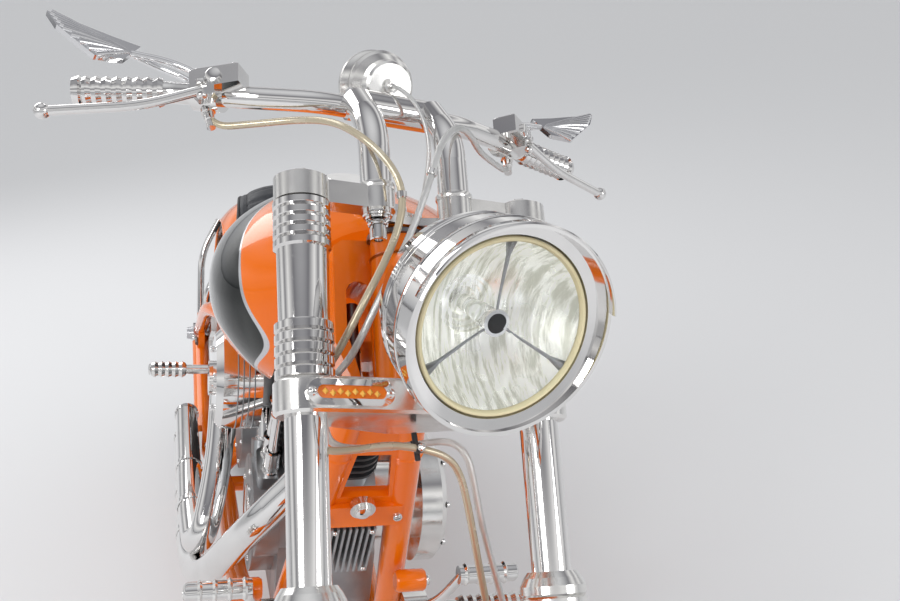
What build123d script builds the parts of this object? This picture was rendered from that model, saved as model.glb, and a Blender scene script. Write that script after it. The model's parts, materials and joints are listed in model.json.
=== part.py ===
from build123d import *
import os
from math import asin, atan2, cos, degrees, hypot, pi, radians, sin, sqrt, tan

# A raked chopper motorcycle, leaning on its side stand with its front end turned a little to the left.
# Millimetres and degrees. In the parked frame +Z is up, the front faces -Y and +X is the rider's left.
# Every piece is drawn in one of four frames that ride on the parked one: the upright machine, the
# unturned steering head, the turned fork (x left, y back, z up the steering axis) and the two hubs.

os.makedirs("parts", exist_ok=True)

# Stance
lean = 10.5
turned = 10.0
steering_lock = 28.0
rake = 36.0
wheelbase = 1684.0
chassis_height = 17.0

# Front end
fork_spacing = 258.0
fork_offset = 56.0
fork_tube_dia = 41.0
fork_length = 525.0
lower_tree_height = 34.5
sleeve_dia = 50.0
rib_dia = 58.0
rib_pitch = 11.2
lower_ribs_top = 92.0
upper_ribs_base = 165.5
upper_tree_base = 218.0
upper_tree_height = 25.0
slider_top = -154.0
slider_dia = 67.5
slider_foot_dia = 54.0
stem_dia = 25.0
riser_spacing = 92.0
riser_dia = 34.0
bar_dia = 25.4
axle_dia = 20.0
fit = 0.05

# Wheels
front_radius = 331.0
front_width = 118.0
front_crown = 59.0
front_rim_radius = 262.0
front_hub_half = 61.0
rear_radius = 318.0
rear_width = 200.0
rear_crown = 150.0
rear_rim_radius = 225.0
rear_hub_half = 90.0
rear_axle_radius = 12.5
disc_dia = 292.0
disc_thick = 5.0

# Headlamp
lamp_dia = 198.0
lamp_reach = 164.0
lamp_height = 50.0
lamp_aim = 33.0
lamp_depth = 150.0
lens_dia = 166.0

# Frame tubes
down_tube_dia = 38.0
backbone_dia = 48.0
neck_dia = 60.0
neck_base = 38.0
neck_top = 214.0

# Engine
crank_y = 480.0
crank_z = 335.0
cylinder_angle = 22.5
barrel_base = 138.0
barrel_length = 132.0
head_length = 62.0
rocker_length = 58.0
fin_size = 142.0
fin_pitch = 14.0
fin_thick = 5.0

# Frames of reference
front_axle_y = -fork_offset * cos(radians(rake)) - fork_length * sin(radians(rake))
rear_axle_y = front_axle_y + wheelbase
rear_axle_z = rear_radius - chassis_height
front_axle_drop = fork_length * cos(radians(rake)) - fork_offset * sin(radians(rake))
head_height = front_radius + front_axle_drop - chassis_height

# Turning the fork moves the front axle a little to the left and back, and leans its wheel plane further.
# The machine's pitch and lift then rest both tyres' crowns on the floor.
axle_left = fork_offset * sin(radians(turned))
axle_back = fork_offset * (1 - cos(radians(turned)))
front_tilt = asin(
    sin(radians(lean)) * cos(radians(turned))
    + cos(radians(lean)) * sin(radians(turned)) * sin(radians(rake))
)
front_rest = (front_radius - front_crown) * cos(front_tilt) + front_crown
rear_rest = (rear_radius - rear_crown) * cos(radians(lean)) + rear_crown
rise = rear_radius - front_radius + axle_back * sin(radians(rake))
reach = wheelbase - axle_back * cos(radians(rake))
step_up = (rear_rest - front_rest - axle_left * sin(radians(lean))) / cos(radians(lean))
pitch = asin(step_up / hypot(rise, reach)) - atan2(rise, reach)
lift = rear_rest - cos(radians(lean)) * (rear_axle_z * cos(pitch) + rear_axle_y * sin(pitch))

bike = Pos(0, 0, lift) * Rot(Y=lean) * Rot(X=degrees(pitch))
head = bike * Pos(0, 0, head_height) * Rot(X=-rake)
fork = head * Rot(Z=turned)
front_hub = fork * Pos(0, -fork_offset, -fork_length) * Rot(Y=90)
rear_hub = bike * Pos(0, rear_axle_y, rear_axle_z) * Rot(Y=90)
lamp = fork * Pos(0, -fork_offset - lamp_reach, lamp_height) * Rot(X=90 + lamp_aim)

leg_x = fork_spacing / 2
riser_x = riser_spacing / 2
legs = [(side * leg_x, -fork_offset) for side in (-1, 1)]
sides = (-1, 1)


def on(frame, plane):
    """A sketch plane given in a frame's own coordinates."""
    return Plane(frame * plane.location)


def axis_of(frame):
    """The frame's own Z axis, in the parked frame."""
    plane = Plane(frame)
    return Axis(plane.origin, plane.z_dir)


def soft_bends(points, share=0.45):
    """One radius for each corner of a route, as large as its two runs allow."""
    radii = []
    for before, corner, after in zip(points, points[1:], points[2:]):
        run_in = Vector(*corner) - Vector(*before)
        run_out = Vector(*after) - Vector(*corner)
        turn = radians(run_in.get_angle(run_out))
        radii.append(share * min(run_in.length, run_out.length) / tan(turn / 2))
    return radii


def bent_tube(frame, points, dia, radii=None, bore=0.0):
    """A round tube along straight runs joined by tangent arcs."""
    with BuildPart() as tube:
        with BuildLine(Plane(frame)) as path:
            if len(points) > 2:
                FilletPolyline(*points, radius=radii or soft_bends(points))
            else:
                Line(*points)
        with BuildSketch(Plane(origin=path.line @ 0, z_dir=path.line % 0)):
            Circle(dia / 2)
            if bore:
                Circle(bore / 2, mode=Mode.SUBTRACT)
        sweep()
    return tube.part


def mirrored(points):
    """The same route on the machine's other side."""
    return [(-x, y, z) for x, y, z in points]


def finish(builder, name):
    """Label a finished piece and write it."""
    builder.part.label = name
    export_step(builder.part, f"parts/{name}.step")


# Fork tubes, each running from inside its slider to the upper tree
with BuildPart() as fork_tubes:
    with BuildSketch(on(fork, Plane.XY.offset(slider_top - 60))):
        with Locations(*legs):
            Circle(fork_tube_dia / 2)
    extrude(amount=upper_tree_base + upper_tree_height - 4 - slider_top + 60)
finish(fork_tubes, "fork_tubes")

# Sleeves between the trees, with a stack of turned rings at each end
ring_stacks = [(lower_tree_height, lower_ribs_top), (upper_ribs_base, upper_tree_base)]
ring_depth = (rib_dia - sleeve_dia) / 2 - 1.0
with BuildPart() as fork_sleeves:
    for x, y in legs:
        leg = fork * Pos(x, y, 0)
        with BuildSketch(on(leg, Plane.XZ)):
            bore = fork_tube_dia / 2 + fit
            with BuildLine():
                profile = [(bore, lower_tree_height)]
                for base, top in ring_stacks:
                    count = round((top - base) / rib_pitch)
                    step = (top - base) / count
                    for ring in range(count):
                        foot = base + ring * step
                        profile.append((rib_dia / 2 - ring_depth, foot))
                        profile.append((rib_dia / 2, foot + 2.2))
                        profile.append((rib_dia / 2, foot + step - 2.2))
                    profile.append((sleeve_dia / 2, top))
                profile.append((bore, upper_tree_base))
                Polyline(*profile, close=True)
            make_face()
        revolve(axis=axis_of(leg))
finish(fork_sleeves, "fork_sleeves")

# Sliders: a domed cap with turned grooves, a tapering leg and a split axle clamp at the foot
slider_foot = -fork_length - 34.0
with BuildPart() as fork_sliders:
    for x, y in legs:
        leg = fork * Pos(x, y, 0)
        with BuildSketch(on(leg, Plane.XZ)):
            with BuildLine():
                bore = fork_tube_dia / 2 + fit
                rim = slider_dia / 2
                Polyline(
                    (bore, slider_top - 60),
                    (bore, slider_top),
                    (bore + 5, slider_top),
                    (rim - 4, slider_top - 6),
                    (rim, slider_top - 14),
                    (rim, slider_top - 22),
                    (rim - 2.5, slider_top - 24),
                    (rim, slider_top - 26),
                    (rim, slider_top - 34),
                    (rim - 2.5, slider_top - 36),
                    (rim, slider_top - 38),
                    (rim, slider_top - 46),
                    (slider_foot_dia / 2 + 3, slider_top - 70),
                    (slider_foot_dia / 2, slider_top - 110),
                    (slider_foot_dia / 2, slider_foot + 6),
                    (slider_foot_dia / 2 - 6, slider_foot),
                    (0, slider_foot),
                    (0, slider_top - 60),
                    close=True,
                )
            make_face()
        revolve(axis=axis_of(leg))
    with BuildSketch(on(fork, Plane.YZ.offset(-leg_x - slider_foot_dia / 2))):
        with Locations((-fork_offset, -fork_length)):
            Circle(axle_dia / 2 + fit)
    extrude(amount=fork_spacing + slider_foot_dia, mode=Mode.SUBTRACT)
finish(fork_sliders, "fork_sliders")

# Lower tree: one billet plate round both legs and the stem
with BuildPart() as lower_tree:
    with BuildSketch(on(fork, Plane.XY)):
        with BuildSketch(mode=Mode.PRIVATE) as rounds:
            with Locations(*legs):
                Circle(31)
            with Locations((0, -6)):
                Circle(42)
        make_hull(rounds.sketch.edges())
        with Locations(*legs):
            Circle(fork_tube_dia / 2 + fit, mode=Mode.SUBTRACT)
    extrude(amount=lower_tree_height)
    chamfer(lower_tree.faces().group_by(SortBy.AREA)[-1].edges().filter_by(GeomType.LINE), 3)
    with BuildSketch(on(fork, Plane.XY)):
        Circle(stem_dia / 2)
    extrude(amount=upper_tree_base)
finish(lower_tree, "lower_tree")

# Upper tree: a cap over each leg, a straight arm to each riser seat and a thin bridge to the stem
with BuildPart() as upper_tree:
    with BuildSketch(on(fork, Plane.XY.offset(upper_tree_base))):
        with Locations(*legs):
            Circle(rib_dia / 2 - 1)
        with Locations((-(leg_x + riser_x) / 2, -fork_offset), ((leg_x + riser_x) / 2, -fork_offset)):
            Rectangle(leg_x - riser_x, 24)
        with Locations((-riser_x, -fork_offset), (riser_x, -fork_offset)):
            Circle(riser_dia / 2 + 2)
    extrude(amount=upper_tree_height)
    with BuildSketch(on(fork, Plane.XY.offset(upper_tree_base))):
        with BuildLine():
            Polyline((-riser_x, -fork_offset + 8), (-24, 22), (24, 22), (riser_x, -fork_offset + 8))
            ThreePointArc((riser_x, -fork_offset + 8), (0, -34), (-riser_x, -fork_offset + 8))
        make_face()
    extrude(amount=9)
    with BuildSketch(on(fork, Plane.XY.offset(upper_tree_base))):
        Circle(26)
    extrude(amount=18)
    with BuildSketch(on(fork, Plane.XY.offset(upper_tree_base))):
        with Locations(*legs):
            Circle(fork_tube_dia / 2 + fit)
    extrude(amount=upper_tree_height - 4, mode=Mode.SUBTRACT)
finish(upper_tree, "upper_tree")

# Stem nut on top and the two bolts that hold the risers from below
with BuildPart() as riser_bolts:
    with BuildSketch(on(fork, Plane.XY.offset(upper_tree_base - 6))):
        with Locations((-riser_x, -fork_offset), (riser_x, -fork_offset)):
            Circle(15)
    extrude(amount=6)
    with BuildSketch(on(fork, Plane.XY.offset(upper_tree_base - 24))):
        with Locations((-riser_x, -fork_offset), (riser_x, -fork_offset)):
            Circle(8.5)
    extrude(amount=18)
    with BuildSketch(on(fork, Plane.XY.offset(upper_tree_base + 18))):
        RegularPolygon(15, 6)
    extrude(amount=14)
finish(riser_bolts, "riser_bolts")

# Handlebar: two risers blended into one bar that sweeps up and back to the grips
bar_bend = (155, 34, 378)
bar_shoulder = (88, 0, 368)
grip_in = (230, 95, 402)
grip_out = (326, 127, 402.5)
bar_half = [bar_shoulder, bar_bend, grip_in, grip_out]
bar_radii = [90, 90, 40]
bar_tube = bent_tube(fork, mirrored(bar_half)[::-1] + bar_half, bar_dia, bar_radii[::-1] + bar_radii)
riser_route = [(riser_x, -fork_offset, upper_tree_base + upper_tree_height), (riser_x, -fork_offset + 2, 318),
               (riser_x, -12, 370)]
risers = [bent_tube(fork, route, riser_dia) for route in (riser_route, mirrored(riser_route))]
with BuildPart() as handlebar:
    add(bar_tube)
    add(risers)
    with BuildSketch(on(fork, Plane.YZ.offset(-riser_x - 8))):
        with Locations((-4, 370)):
            Circle(19)
    extrude(amount=riser_spacing + 16)
    add(upper_tree.part, mode=Mode.SUBTRACT)
finish(handlebar, "handlebar")

# Grips: ringed sleeves over the bar's ends
grip_start = 9.0
grip_length = 90.0
grip_rings = 8
with BuildPart() as grips:
    for side in sides:
        start = Vector(side * grip_in[0], grip_in[1], grip_in[2])
        end = Vector(side * grip_out[0], grip_out[1], grip_out[2])
        run = Plane(origin=start, z_dir=end - start)
        barrel = fork * run.location
        step = grip_length / grip_rings
        profile = [(bar_dia / 2, grip_start)]
        for ring in range(grip_rings):
            profile.append((15.0, grip_start + ring * step))
            profile.append((17.5, grip_start + ring * step + step / 2))
        profile.append((15.0, grip_start + grip_length))
        profile.append((18.0, grip_start + grip_length + 2))
        profile.append((15.0, grip_start + grip_length + 10))
        profile.append((0, grip_start + grip_length + 11))
        profile.append((0, (end - start).length))
        profile.append((bar_dia / 2, (end - start).length))
        with BuildSketch(on(barrel, Plane.XZ)):
            with BuildLine():
                Polyline(*profile, close=True)
            make_face()
        revolve(axis=axis_of(barrel))
finish(grips, "grips")

# Hand controls: a clamp, a master cylinder and a long ball-ended lever on each side
clamp_share = 0.35
clamp_width = 34.0
lever_pivot = (210, 34, 377)
lever_end = (363, 99, 357)
lever_route = [lever_pivot, (268, 60, 361), lever_end]
with BuildPart() as hand_controls:
    for side in sides:
        start = Vector(side * bar_bend[0], bar_bend[1], bar_bend[2])
        end = Vector(side * grip_in[0], grip_in[1], grip_in[2])
        run = fork * Plane(origin=start + (end - start) * clamp_share, z_dir=end - start).location
        with BuildSketch(on(run, Plane.XY)):
            Circle(19)
        extrude(amount=clamp_width)
    with Locations(*[fork * Pos(side * 190, 38, 393) * Rot(Z=side * 38) for side in sides]):
        Box(58, 30, 22)
    with Locations(*[fork * Pos(side * 203, 40, 380) * Rot(Z=side * 38) for side in sides]):
        Box(26, 20, 18)
    add(handlebar.part, mode=Mode.SUBTRACT)
finish(hand_controls, "hand_controls")

lever_rod = bent_tube(fork, lever_route, 11)
with BuildPart() as levers:
    add(lever_rod)
    with Locations(fork * Pos(lever_end[0] + 3, lever_end[1] + 1, lever_end[2])):
        Sphere(9)
    add(hand_controls.part, mode=Mode.SUBTRACT)
    mirror(about=on(fork, Plane.YZ))
finish(levers, "levers")

# Mirrors: a fluted fan plate on two curved stems
mirror_corners = [(265, 100, 459), (296, 102, 463), (368, 103, 478), (358, 99, 458), (318, 90, 424), (286, 91, 430)]
mirror_normal = (-0.11, -0.93, 0.35)
mirror_thick = 7.0
mirror_stem = [(196, 72, 398), (206, 80, 424), (236, 92, 440), (276, 100, 446)]
mirror_stem_rear = [(200, 76, 398), (212, 100, 426), (250, 116, 446), (284, 106, 452)]
mirror_routes = [mirror_stem, mirror_stem_rear]
stems = [bent_tube(fork, route, 8) for route in mirror_routes + [mirrored(stem) for stem in mirror_routes]]
with BuildPart() as mirrors:
    add(stems)
    for side in sides:
        centre = Vector(side * 310, 98, 452)
        facing = Vector(side * mirror_normal[0], mirror_normal[1], mirror_normal[2])
        plate = Plane(origin=centre, x_dir=(side, 0, 0), z_dir=facing)
        corners = [plate.to_local_coords(Vector(side * x, y, z)) for x, y, z in mirror_corners]
        with BuildSketch(on(fork * plate.location, Plane.XY.offset(-mirror_thick / 2))):
            with BuildLine():
                Polyline(*[(corner.X, corner.Y) for corner in corners], close=True)
            make_face()
        extrude(amount=mirror_thick)
    add(handlebar.part, mode=Mode.SUBTRACT)
    add(hand_controls.part, mode=Mode.SUBTRACT)
finish(mirrors, "mirrors")

# Gauge: a turned cup on the bar's middle, its face to the rider
gauge = fork * Pos(0, -5, 402) * Rot(X=-62)
gauge_depth = 62.0
with BuildPart() as gauge_cup:
    with BuildSketch(on(gauge, Plane.XZ)):
        with BuildLine():
            Polyline((0, 0), (26, 0), (29, 3), (31, 12), (38, 26), (41, 30), (41, 54), (42.5, 56),
                     (42.5, gauge_depth), (38, gauge_depth), (38, 58), (0, 58), close=True)
        make_face()
    revolve(axis=axis_of(gauge))
    add(handlebar.part, mode=Mode.SUBTRACT)
finish(gauge_cup, "gauge_cup")

# Headlamp shell: a deep bucket with a peaked visor and a mounting foot on the lower tree
lamp_radius = lamp_dia / 2
with BuildPart() as headlamp_shell:
    with BuildSketch(on(lamp, Plane.XZ)):
        with BuildLine():
            Polyline((0, -lamp_depth), (34, -lamp_depth + 4), (62, -lamp_depth + 22), (84, -lamp_depth + 58),
                     (93, -64), (95, -18), (lamp_radius, -14), (lamp_radius, 22), (lamp_radius - 3, 22),
                     (lamp_radius - 4, 0), (lens_dia / 2 + 2, -2), (lens_dia / 2, -12),
                     (76, -lamp_depth + 62), (54, -lamp_depth + 30), (0, -lamp_depth + 12), close=True)
        make_face()
    revolve(axis=axis_of(lamp))
    with BuildSketch(on(lamp, Plane.YZ.offset(-lamp_radius - 1))):
        with BuildLine():
            Polyline((-lamp_radius - 2, 4), (lamp_radius + 2, 22), (lamp_radius + 2, 60),
                     (-lamp_radius - 2, 60), close=True)
        make_face()
    extrude(amount=lamp_dia + 2, mode=Mode.SUBTRACT)
finish(headlamp_shell, "headlamp_shell")

lens_rise = 16.0
lens_edge = lens_dia / 2 - fit
lens_curve = (lens_edge**2 + lens_rise**2) / (2 * lens_rise)
with BuildPart() as headlamp_lens:
    with BuildSketch(on(lamp, Plane.XZ)):
        with BuildLine():
            dome = JernArc((0, 9), (1, 0), lens_curve, -degrees(asin(lens_edge / lens_curve)))
            Polyline(dome @ 1, (lens_edge, -11), (0, -3), (0, 9))
        make_face()
    revolve(axis=axis_of(lamp))
finish(headlamp_lens, "headlamp_lens")

# Lamp stay between the shell and the lower tree
with BuildPart() as lamp_stay:
    with BuildSketch(on(fork, Plane.YZ.offset(-17))):
        with BuildLine():
            Polyline((-87, 6), (-87, 30), (-100, 34), (-118, 4), close=True)
        make_face()
    extrude(amount=34)
    add(headlamp_shell.part, mode=Mode.SUBTRACT)
finish(lamp_stay, "lamp_stay")

# Marker lights on the front of the lower tree
with BuildPart() as marker_lamps:
    for side in sides:
        with BuildSketch(on(fork, Plane.XZ.offset(fork_offset + 31))):
            with Locations((side * 96, lower_tree_height / 2)):
                SlotOverall(86, 18)
        extrude(amount=5)
finish(marker_lamps, "marker_lamps")

# Front axle with its spacers and a round cap outside each slider
axle_cap_dia = 28.0
axle_cap_length = 14.0
axle_cap_x = leg_x + slider_foot_dia / 2 + 0.3
with BuildPart() as front_axle:
    with BuildSketch(on(fork, Plane.YZ.offset(-axle_cap_x))):
        with Locations((-fork_offset, -fork_length)):
            Circle(axle_dia / 2)
    extrude(amount=2 * axle_cap_x)
    for side in sides:
        with BuildSketch(on(fork, Plane.YZ.offset(side * (front_hub_half + 1)))):
            with Locations((-fork_offset, -fork_length)):
                Circle(15)
        extrude(amount=side * (leg_x - slider_foot_dia / 2 - front_hub_half - 1.2))
        with BuildSketch(on(fork, Plane.YZ.offset(side * axle_cap_x))):
            with Locations((-fork_offset, -fork_length)):
                Circle(axle_cap_dia / 2)
        extrude(amount=side * axle_cap_length)
finish(front_axle, "front_axle")


def tyre_outline(outer, crown, width, rim_radius):
    """Half of a tyre's section, from the rim's shoulder over the crown, as (radius, along axle)."""
    edge = width / 2 - 2.0
    shoulder = outer - crown + sqrt(crown**2 - edge**2) if crown > edge else outer - crown
    return edge, max(shoulder, rim_radius + 12.0)


def build_tyre(hub, outer, crown, width, rim_radius):
    edge, shoulder = tyre_outline(outer, crown, width, rim_radius)
    bead = width * 0.40
    with BuildPart() as tyre:
        with BuildSketch(on(hub, Plane.XZ)):
            with BuildLine():
                ThreePointArc((shoulder, -edge), (outer, 0), (shoulder, edge))
                Polyline((shoulder, edge), (rim_radius + 8, edge), (rim_radius, bead), (rim_radius, -bead),
                         (rim_radius + 8, -edge), (shoulder, -edge))
            make_face()
        revolve(axis=axis_of(hub))
    return tyre


front_tyre = build_tyre(front_hub, front_radius, front_crown, front_width, front_rim_radius)
finish(front_tyre, "front_tyre")
rear_tyre = build_tyre(rear_hub, rear_radius, rear_crown, rear_width, rear_rim_radius)
finish(rear_tyre, "rear_tyre")


def build_wheel(hub, rim_radius, width, hub_radius, hub_width, spokes, bore):
    """A billet wheel: a channel rim, tapered spokes and a turned hub."""
    bead = width * 0.40
    with BuildPart() as wheel:
        with BuildSketch(on(hub, Plane.XZ)):
            with BuildLine():
                Polyline((rim_radius - 0.2, -bead), (rim_radius - 0.2, bead), (rim_radius - 9, bead),
                         (rim_radius - 20, bead * 0.45), (rim_radius - 20, -bead * 0.45),
                         (rim_radius - 9, -bead), close=True)
            make_face()
        revolve(axis=axis_of(hub))
        with BuildSketch(on(hub, Plane.XY.offset(-hub_width / 2))):
            Circle(hub_radius)
        extrude(amount=hub_width)
        with BuildSketch(on(hub, Plane.XY.offset(-14))):
            with PolarLocations(0, spokes):
                with BuildLine():
                    Polyline((hub_radius - 6, -20), (rim_radius - 16, -9), (rim_radius - 16, 9),
                             (hub_radius - 6, 20), close=True)
                make_face()
        extrude(amount=28)
        with BuildSketch(on(hub, Plane.XY.offset(-hub_width / 2))):
            Circle(bore)
        extrude(amount=hub_width, mode=Mode.SUBTRACT)
    return wheel


front_wheel = build_wheel(front_hub, front_rim_radius, front_width, 36, 2 * front_hub_half, 6, axle_dia / 2 + fit)
finish(front_wheel, "front_wheel")
rear_wheel = build_wheel(rear_hub, rear_rim_radius, rear_width, 48, 2 * rear_hub_half, 6, rear_axle_radius + fit)
finish(rear_wheel, "rear_wheel")

# Front brake disc on the left of the hub, with the caliper that straddles it behind the leg
disc_x = 74.0
with BuildPart() as front_disc:
    with BuildSketch(on(front_hub, Plane.XY.offset(disc_x))):
        Circle(disc_dia / 2)
        Circle(disc_dia / 2 - 42, mode=Mode.SUBTRACT)
    extrude(amount=disc_thick)
    with BuildSketch(on(front_hub, Plane.XY.offset(front_hub_half))):
        Circle(60)
        Circle(20, mode=Mode.SUBTRACT)
    extrude(amount=disc_x - front_hub_half)
    with BuildSketch(on(front_hub, Plane.XY.offset(disc_x))):
        with PolarLocations((disc_dia / 2 - 42 + 58) / 2, 6):
            Rectangle(60, 16)
    extrude(amount=disc_thick)
    with BuildSketch(on(front_hub, Plane.XY.offset(disc_x - 3))):
        with PolarLocations(disc_dia / 2 - 18, 24):
            Circle(4)
    extrude(amount=disc_thick + 6, mode=Mode.SUBTRACT)
finish(front_disc, "front_disc")

caliper_turn = 150.0
with BuildPart() as front_caliper:
    spot = front_hub * Rot(Z=caliper_turn)
    with BuildSketch(on(spot, Plane.XY.offset(disc_x - 24))):
        with Locations((disc_dia / 2 - 10, 0)):
            RectangleRounded(62, 96, 14)
    extrude(amount=54)
    with BuildSketch(on(spot, Plane.XY.offset(disc_x - 3))):
        Circle(disc_dia / 2 + 3)
    extrude(amount=disc_thick + 6, mode=Mode.SUBTRACT)
    with BuildSketch(on(spot, Plane.XY.offset(disc_x + 12))):
        with Locations((disc_dia / 2 - 10, 0)):
            RectangleRounded(20, 120, 8)
    extrude(amount=16)
    with BuildSketch(on(fork, Plane.YZ.offset(96))):
        with BuildLine():
            Polyline((-50, 86 - fork_length), (20, 86 - fork_length), (20, 150 - fork_length),
                     (-50, 160 - fork_length), close=True)
        make_face()
    extrude(amount=14)
    add(fork_sliders.part, mode=Mode.SUBTRACT)
finish(front_caliper, "front_caliper")

# Front fender: a rounded blade over the tyre, held by a stay to each slider
fender_gap = 14.0
fender_half = front_width / 2 + 12
with BuildPart() as front_fender:
    arc = front_hub * Rot(Z=136)
    with BuildSketch(on(arc, Plane.XZ)):
        with BuildLine():
            inner = front_radius + fender_gap
            ThreePointArc((inner - 46, -fender_half), (inner, 0), (inner - 46, fender_half))
            Line((inner - 46, fender_half), (inner - 45, fender_half + 3))
            ThreePointArc((inner - 45, fender_half + 3), (inner + 3.5, 0), (inner - 45, -fender_half - 3))
            Line((inner - 45, -fender_half - 3), (inner - 46, -fender_half))
        make_face()
    revolve(axis=axis_of(front_hub), revolution_arc=96)
    tab_place = front_radius + fender_gap - fork_length - 50
    with Locations(*[fork * Pos(side * 86, -fork_offset, tab_place) for side in sides]):
        Box(40, 30, 12)
    add(fork_sliders.part, mode=Mode.SUBTRACT)
finish(front_fender, "front_fender")

# Steering head: the neck tube inside a sculpted gusset with an arched slot on each side
gusset_half = 70.0
slot_inner = 30.0
slot_outer = 57.0
gusset_depth = 62.0
with BuildPart() as frame_head:
    with BuildSketch(on(head, Plane.XZ.offset(-gusset_depth - 12))):
        with BuildLine():
            Polyline((-gusset_half, 96), (-gusset_half, neck_top - 8), (-gusset_half + 10, neck_top),
                     (gusset_half - 10, neck_top), (gusset_half, neck_top - 8), (gusset_half, 96),
                     (46, neck_base), (-46, neck_base), close=True)
        make_face()
        for side in sides:
            with BuildLine():
                mid = (slot_inner + slot_outer) / 2
                Polyline((side * slot_outer, 150), (side * slot_outer, 108), (side * 42, neck_base + 14),
                         (side * slot_inner, neck_base + 14), (side * slot_inner, 150))
                ThreePointArc((side * slot_inner, 150), (side * mid, 166), (side * slot_outer, 150))
            make_face(mode=Mode.SUBTRACT)
    extrude(amount=gusset_depth)
    with BuildSketch(on(head, Plane.XY.offset(neck_base))):
        Circle(neck_dia / 2)
    extrude(amount=neck_top - neck_base)
    with BuildSketch(on(head, Plane.XY.offset(neck_base))):
        Circle(stem_dia / 2 + fit)
    extrude(amount=neck_top - neck_base, mode=Mode.SUBTRACT)
finish(frame_head, "frame_head")

# Twin down tubes that run on as the lower rails and the rear uprights, with the web between them
down_lean = 0.39
down_spread = 0.10
down_top = (34.0, 100.0, 703.5)


def down_tube_at(height):
    """A point on the left down tube's centre line at a height."""
    drop = down_top[2] - height
    return (down_top[0] + drop * down_spread, down_top[1] + drop * down_lean, height)


axle_plate_x = 154.0
rail_route = [down_top, down_tube_at(172), (112, 560, 150), (116, 860, 152), (axle_plate_x, 1000, 200),
              (axle_plate_x, rear_axle_y - 24, rear_axle_z - 12)]
rail_bends = [70, 300, 160, 120]
rails = [bent_tube(bike, route, down_tube_dia, rail_bends) for route in (rail_route, mirrored(rail_route))]
web_slope = degrees(atan2(down_lean, 1))
web = bike * Pos(0, down_top[1], down_top[2]) * Rot(X=90 + web_slope)
crossbar_top = -187.0
crossbar_foot = -226.0
with BuildPart() as frame_rails:
    add(rails)
    with BuildSketch(on(web, Plane.XY.offset(2))):
        with BuildLine():
            Polyline((-34, 34), (34, 34), (34, 0), (57, crossbar_foot), (-57, crossbar_foot), (-34, 0),
                     close=True)
        make_face()
        with BuildLine():
            Polyline((-21, -97), (21, -97), (31, -176), (-31, -176), close=True)
        make_face(mode=Mode.SUBTRACT)
    extrude(amount=10)
    with BuildSketch(on(web, Plane.XY.offset(-14))):
        with BuildLine():
            Polyline((-50, crossbar_top), (50, crossbar_top), (54, crossbar_foot), (-54, crossbar_foot),
                     close=True)
        make_face()
    extrude(amount=34)
    for y, half in ((640, 112), (872, 116)):
        with BuildSketch(on(bike, Plane.YZ.offset(-half))):
            with Locations((y, 151)):
                Circle(15)
        extrude(amount=2 * half)
    for side in sides:
        with BuildSketch(on(bike, Plane.YZ.offset(side * axle_plate_x - 7))):
            with Locations((rear_axle_y, rear_axle_z)):
                SlotOverall(150, 78)
        extrude(amount=14)
    with BuildSketch(on(bike, Plane.YZ.offset(-200))):
        with Locations((rear_axle_y, rear_axle_z)):
            Circle(rear_axle_radius + fit)
    extrude(amount=400, mode=Mode.SUBTRACT)
    add(frame_head.part, mode=Mode.SUBTRACT)
finish(frame_rails, "frame_rails")

# Backbone from the head to the seat, then one stay down each side to the axle plate
backbone_route = [(0, 70, 803), (0, 722, 733), (0, 806, 520)]
stay_route = [(10, 790, 545), (96, 850, 500), (axle_plate_x, 1030, 478),
              (axle_plate_x, rear_axle_y - 30, rear_axle_z + 24)]
post_route = [(14, 794, 540), (80, 858, 470), (80, 894, 226), (122, 904, 170)]
spine = bent_tube(bike, backbone_route, backbone_dia, [90])
stays = [bent_tube(bike, route, 30) for route in (stay_route, mirrored(stay_route))]
posts = [bent_tube(bike, route, 34) for route in (post_route, mirrored(post_route))]
with BuildPart() as frame_backbone:
    add(spine)
    add(stays)
    add(posts)
    add(frame_head.part, mode=Mode.SUBTRACT)
    add(frame_rails.part, mode=Mode.SUBTRACT)
    with BuildSketch(on(head, Plane.XY.offset(neck_base))):
        Circle(neck_dia / 2)
    extrude(amount=neck_top - neck_base, mode=Mode.SUBTRACT)
finish(frame_backbone, "frame_backbone")

# Engine: crankcase, two finned barrels in a narrow vee, rocker covers and pushrod tubes
crank = bike * Pos(0, crank_y, crank_z)
banks = [crank * Rot(X=side * -cylinder_angle) for side in (-1, 1)]
case_half = 74.0
pushrod_x = 83.0
pushrod_half_spacing = 15.0
tappet_top = 104.0
with BuildPart() as engine_case:
    with BuildSketch(on(bike, Plane.YZ.offset(-case_half))):
        with Locations((crank_y, crank_z)):
            Circle(118)
        with Locations((crank_y, crank_z - 60)):
            RectangleRounded(250, 130, 30)
    extrude(amount=2 * case_half)
    for bank in banks:
        with BuildSketch(on(bank, Plane.XY)):
            RectangleRounded(124, 124, 30)
        extrude(amount=barrel_base)
        with BuildSketch(on(bank, Plane.XY.offset(40))):
            with Locations((-pushrod_x, 0)):
                RectangleRounded(40, 62, 10)
        extrude(amount=tappet_top - 40)
    with BuildSketch(on(bike, Plane.YZ.offset(-case_half))):
        with Locations((crank_y, crank_z - 12)):
            Circle(92)
        with Locations((crank_y - 96, crank_z + 8)):
            Circle(34)
    extrude(amount=-34)
finish(engine_case, "engine_case")

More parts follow.
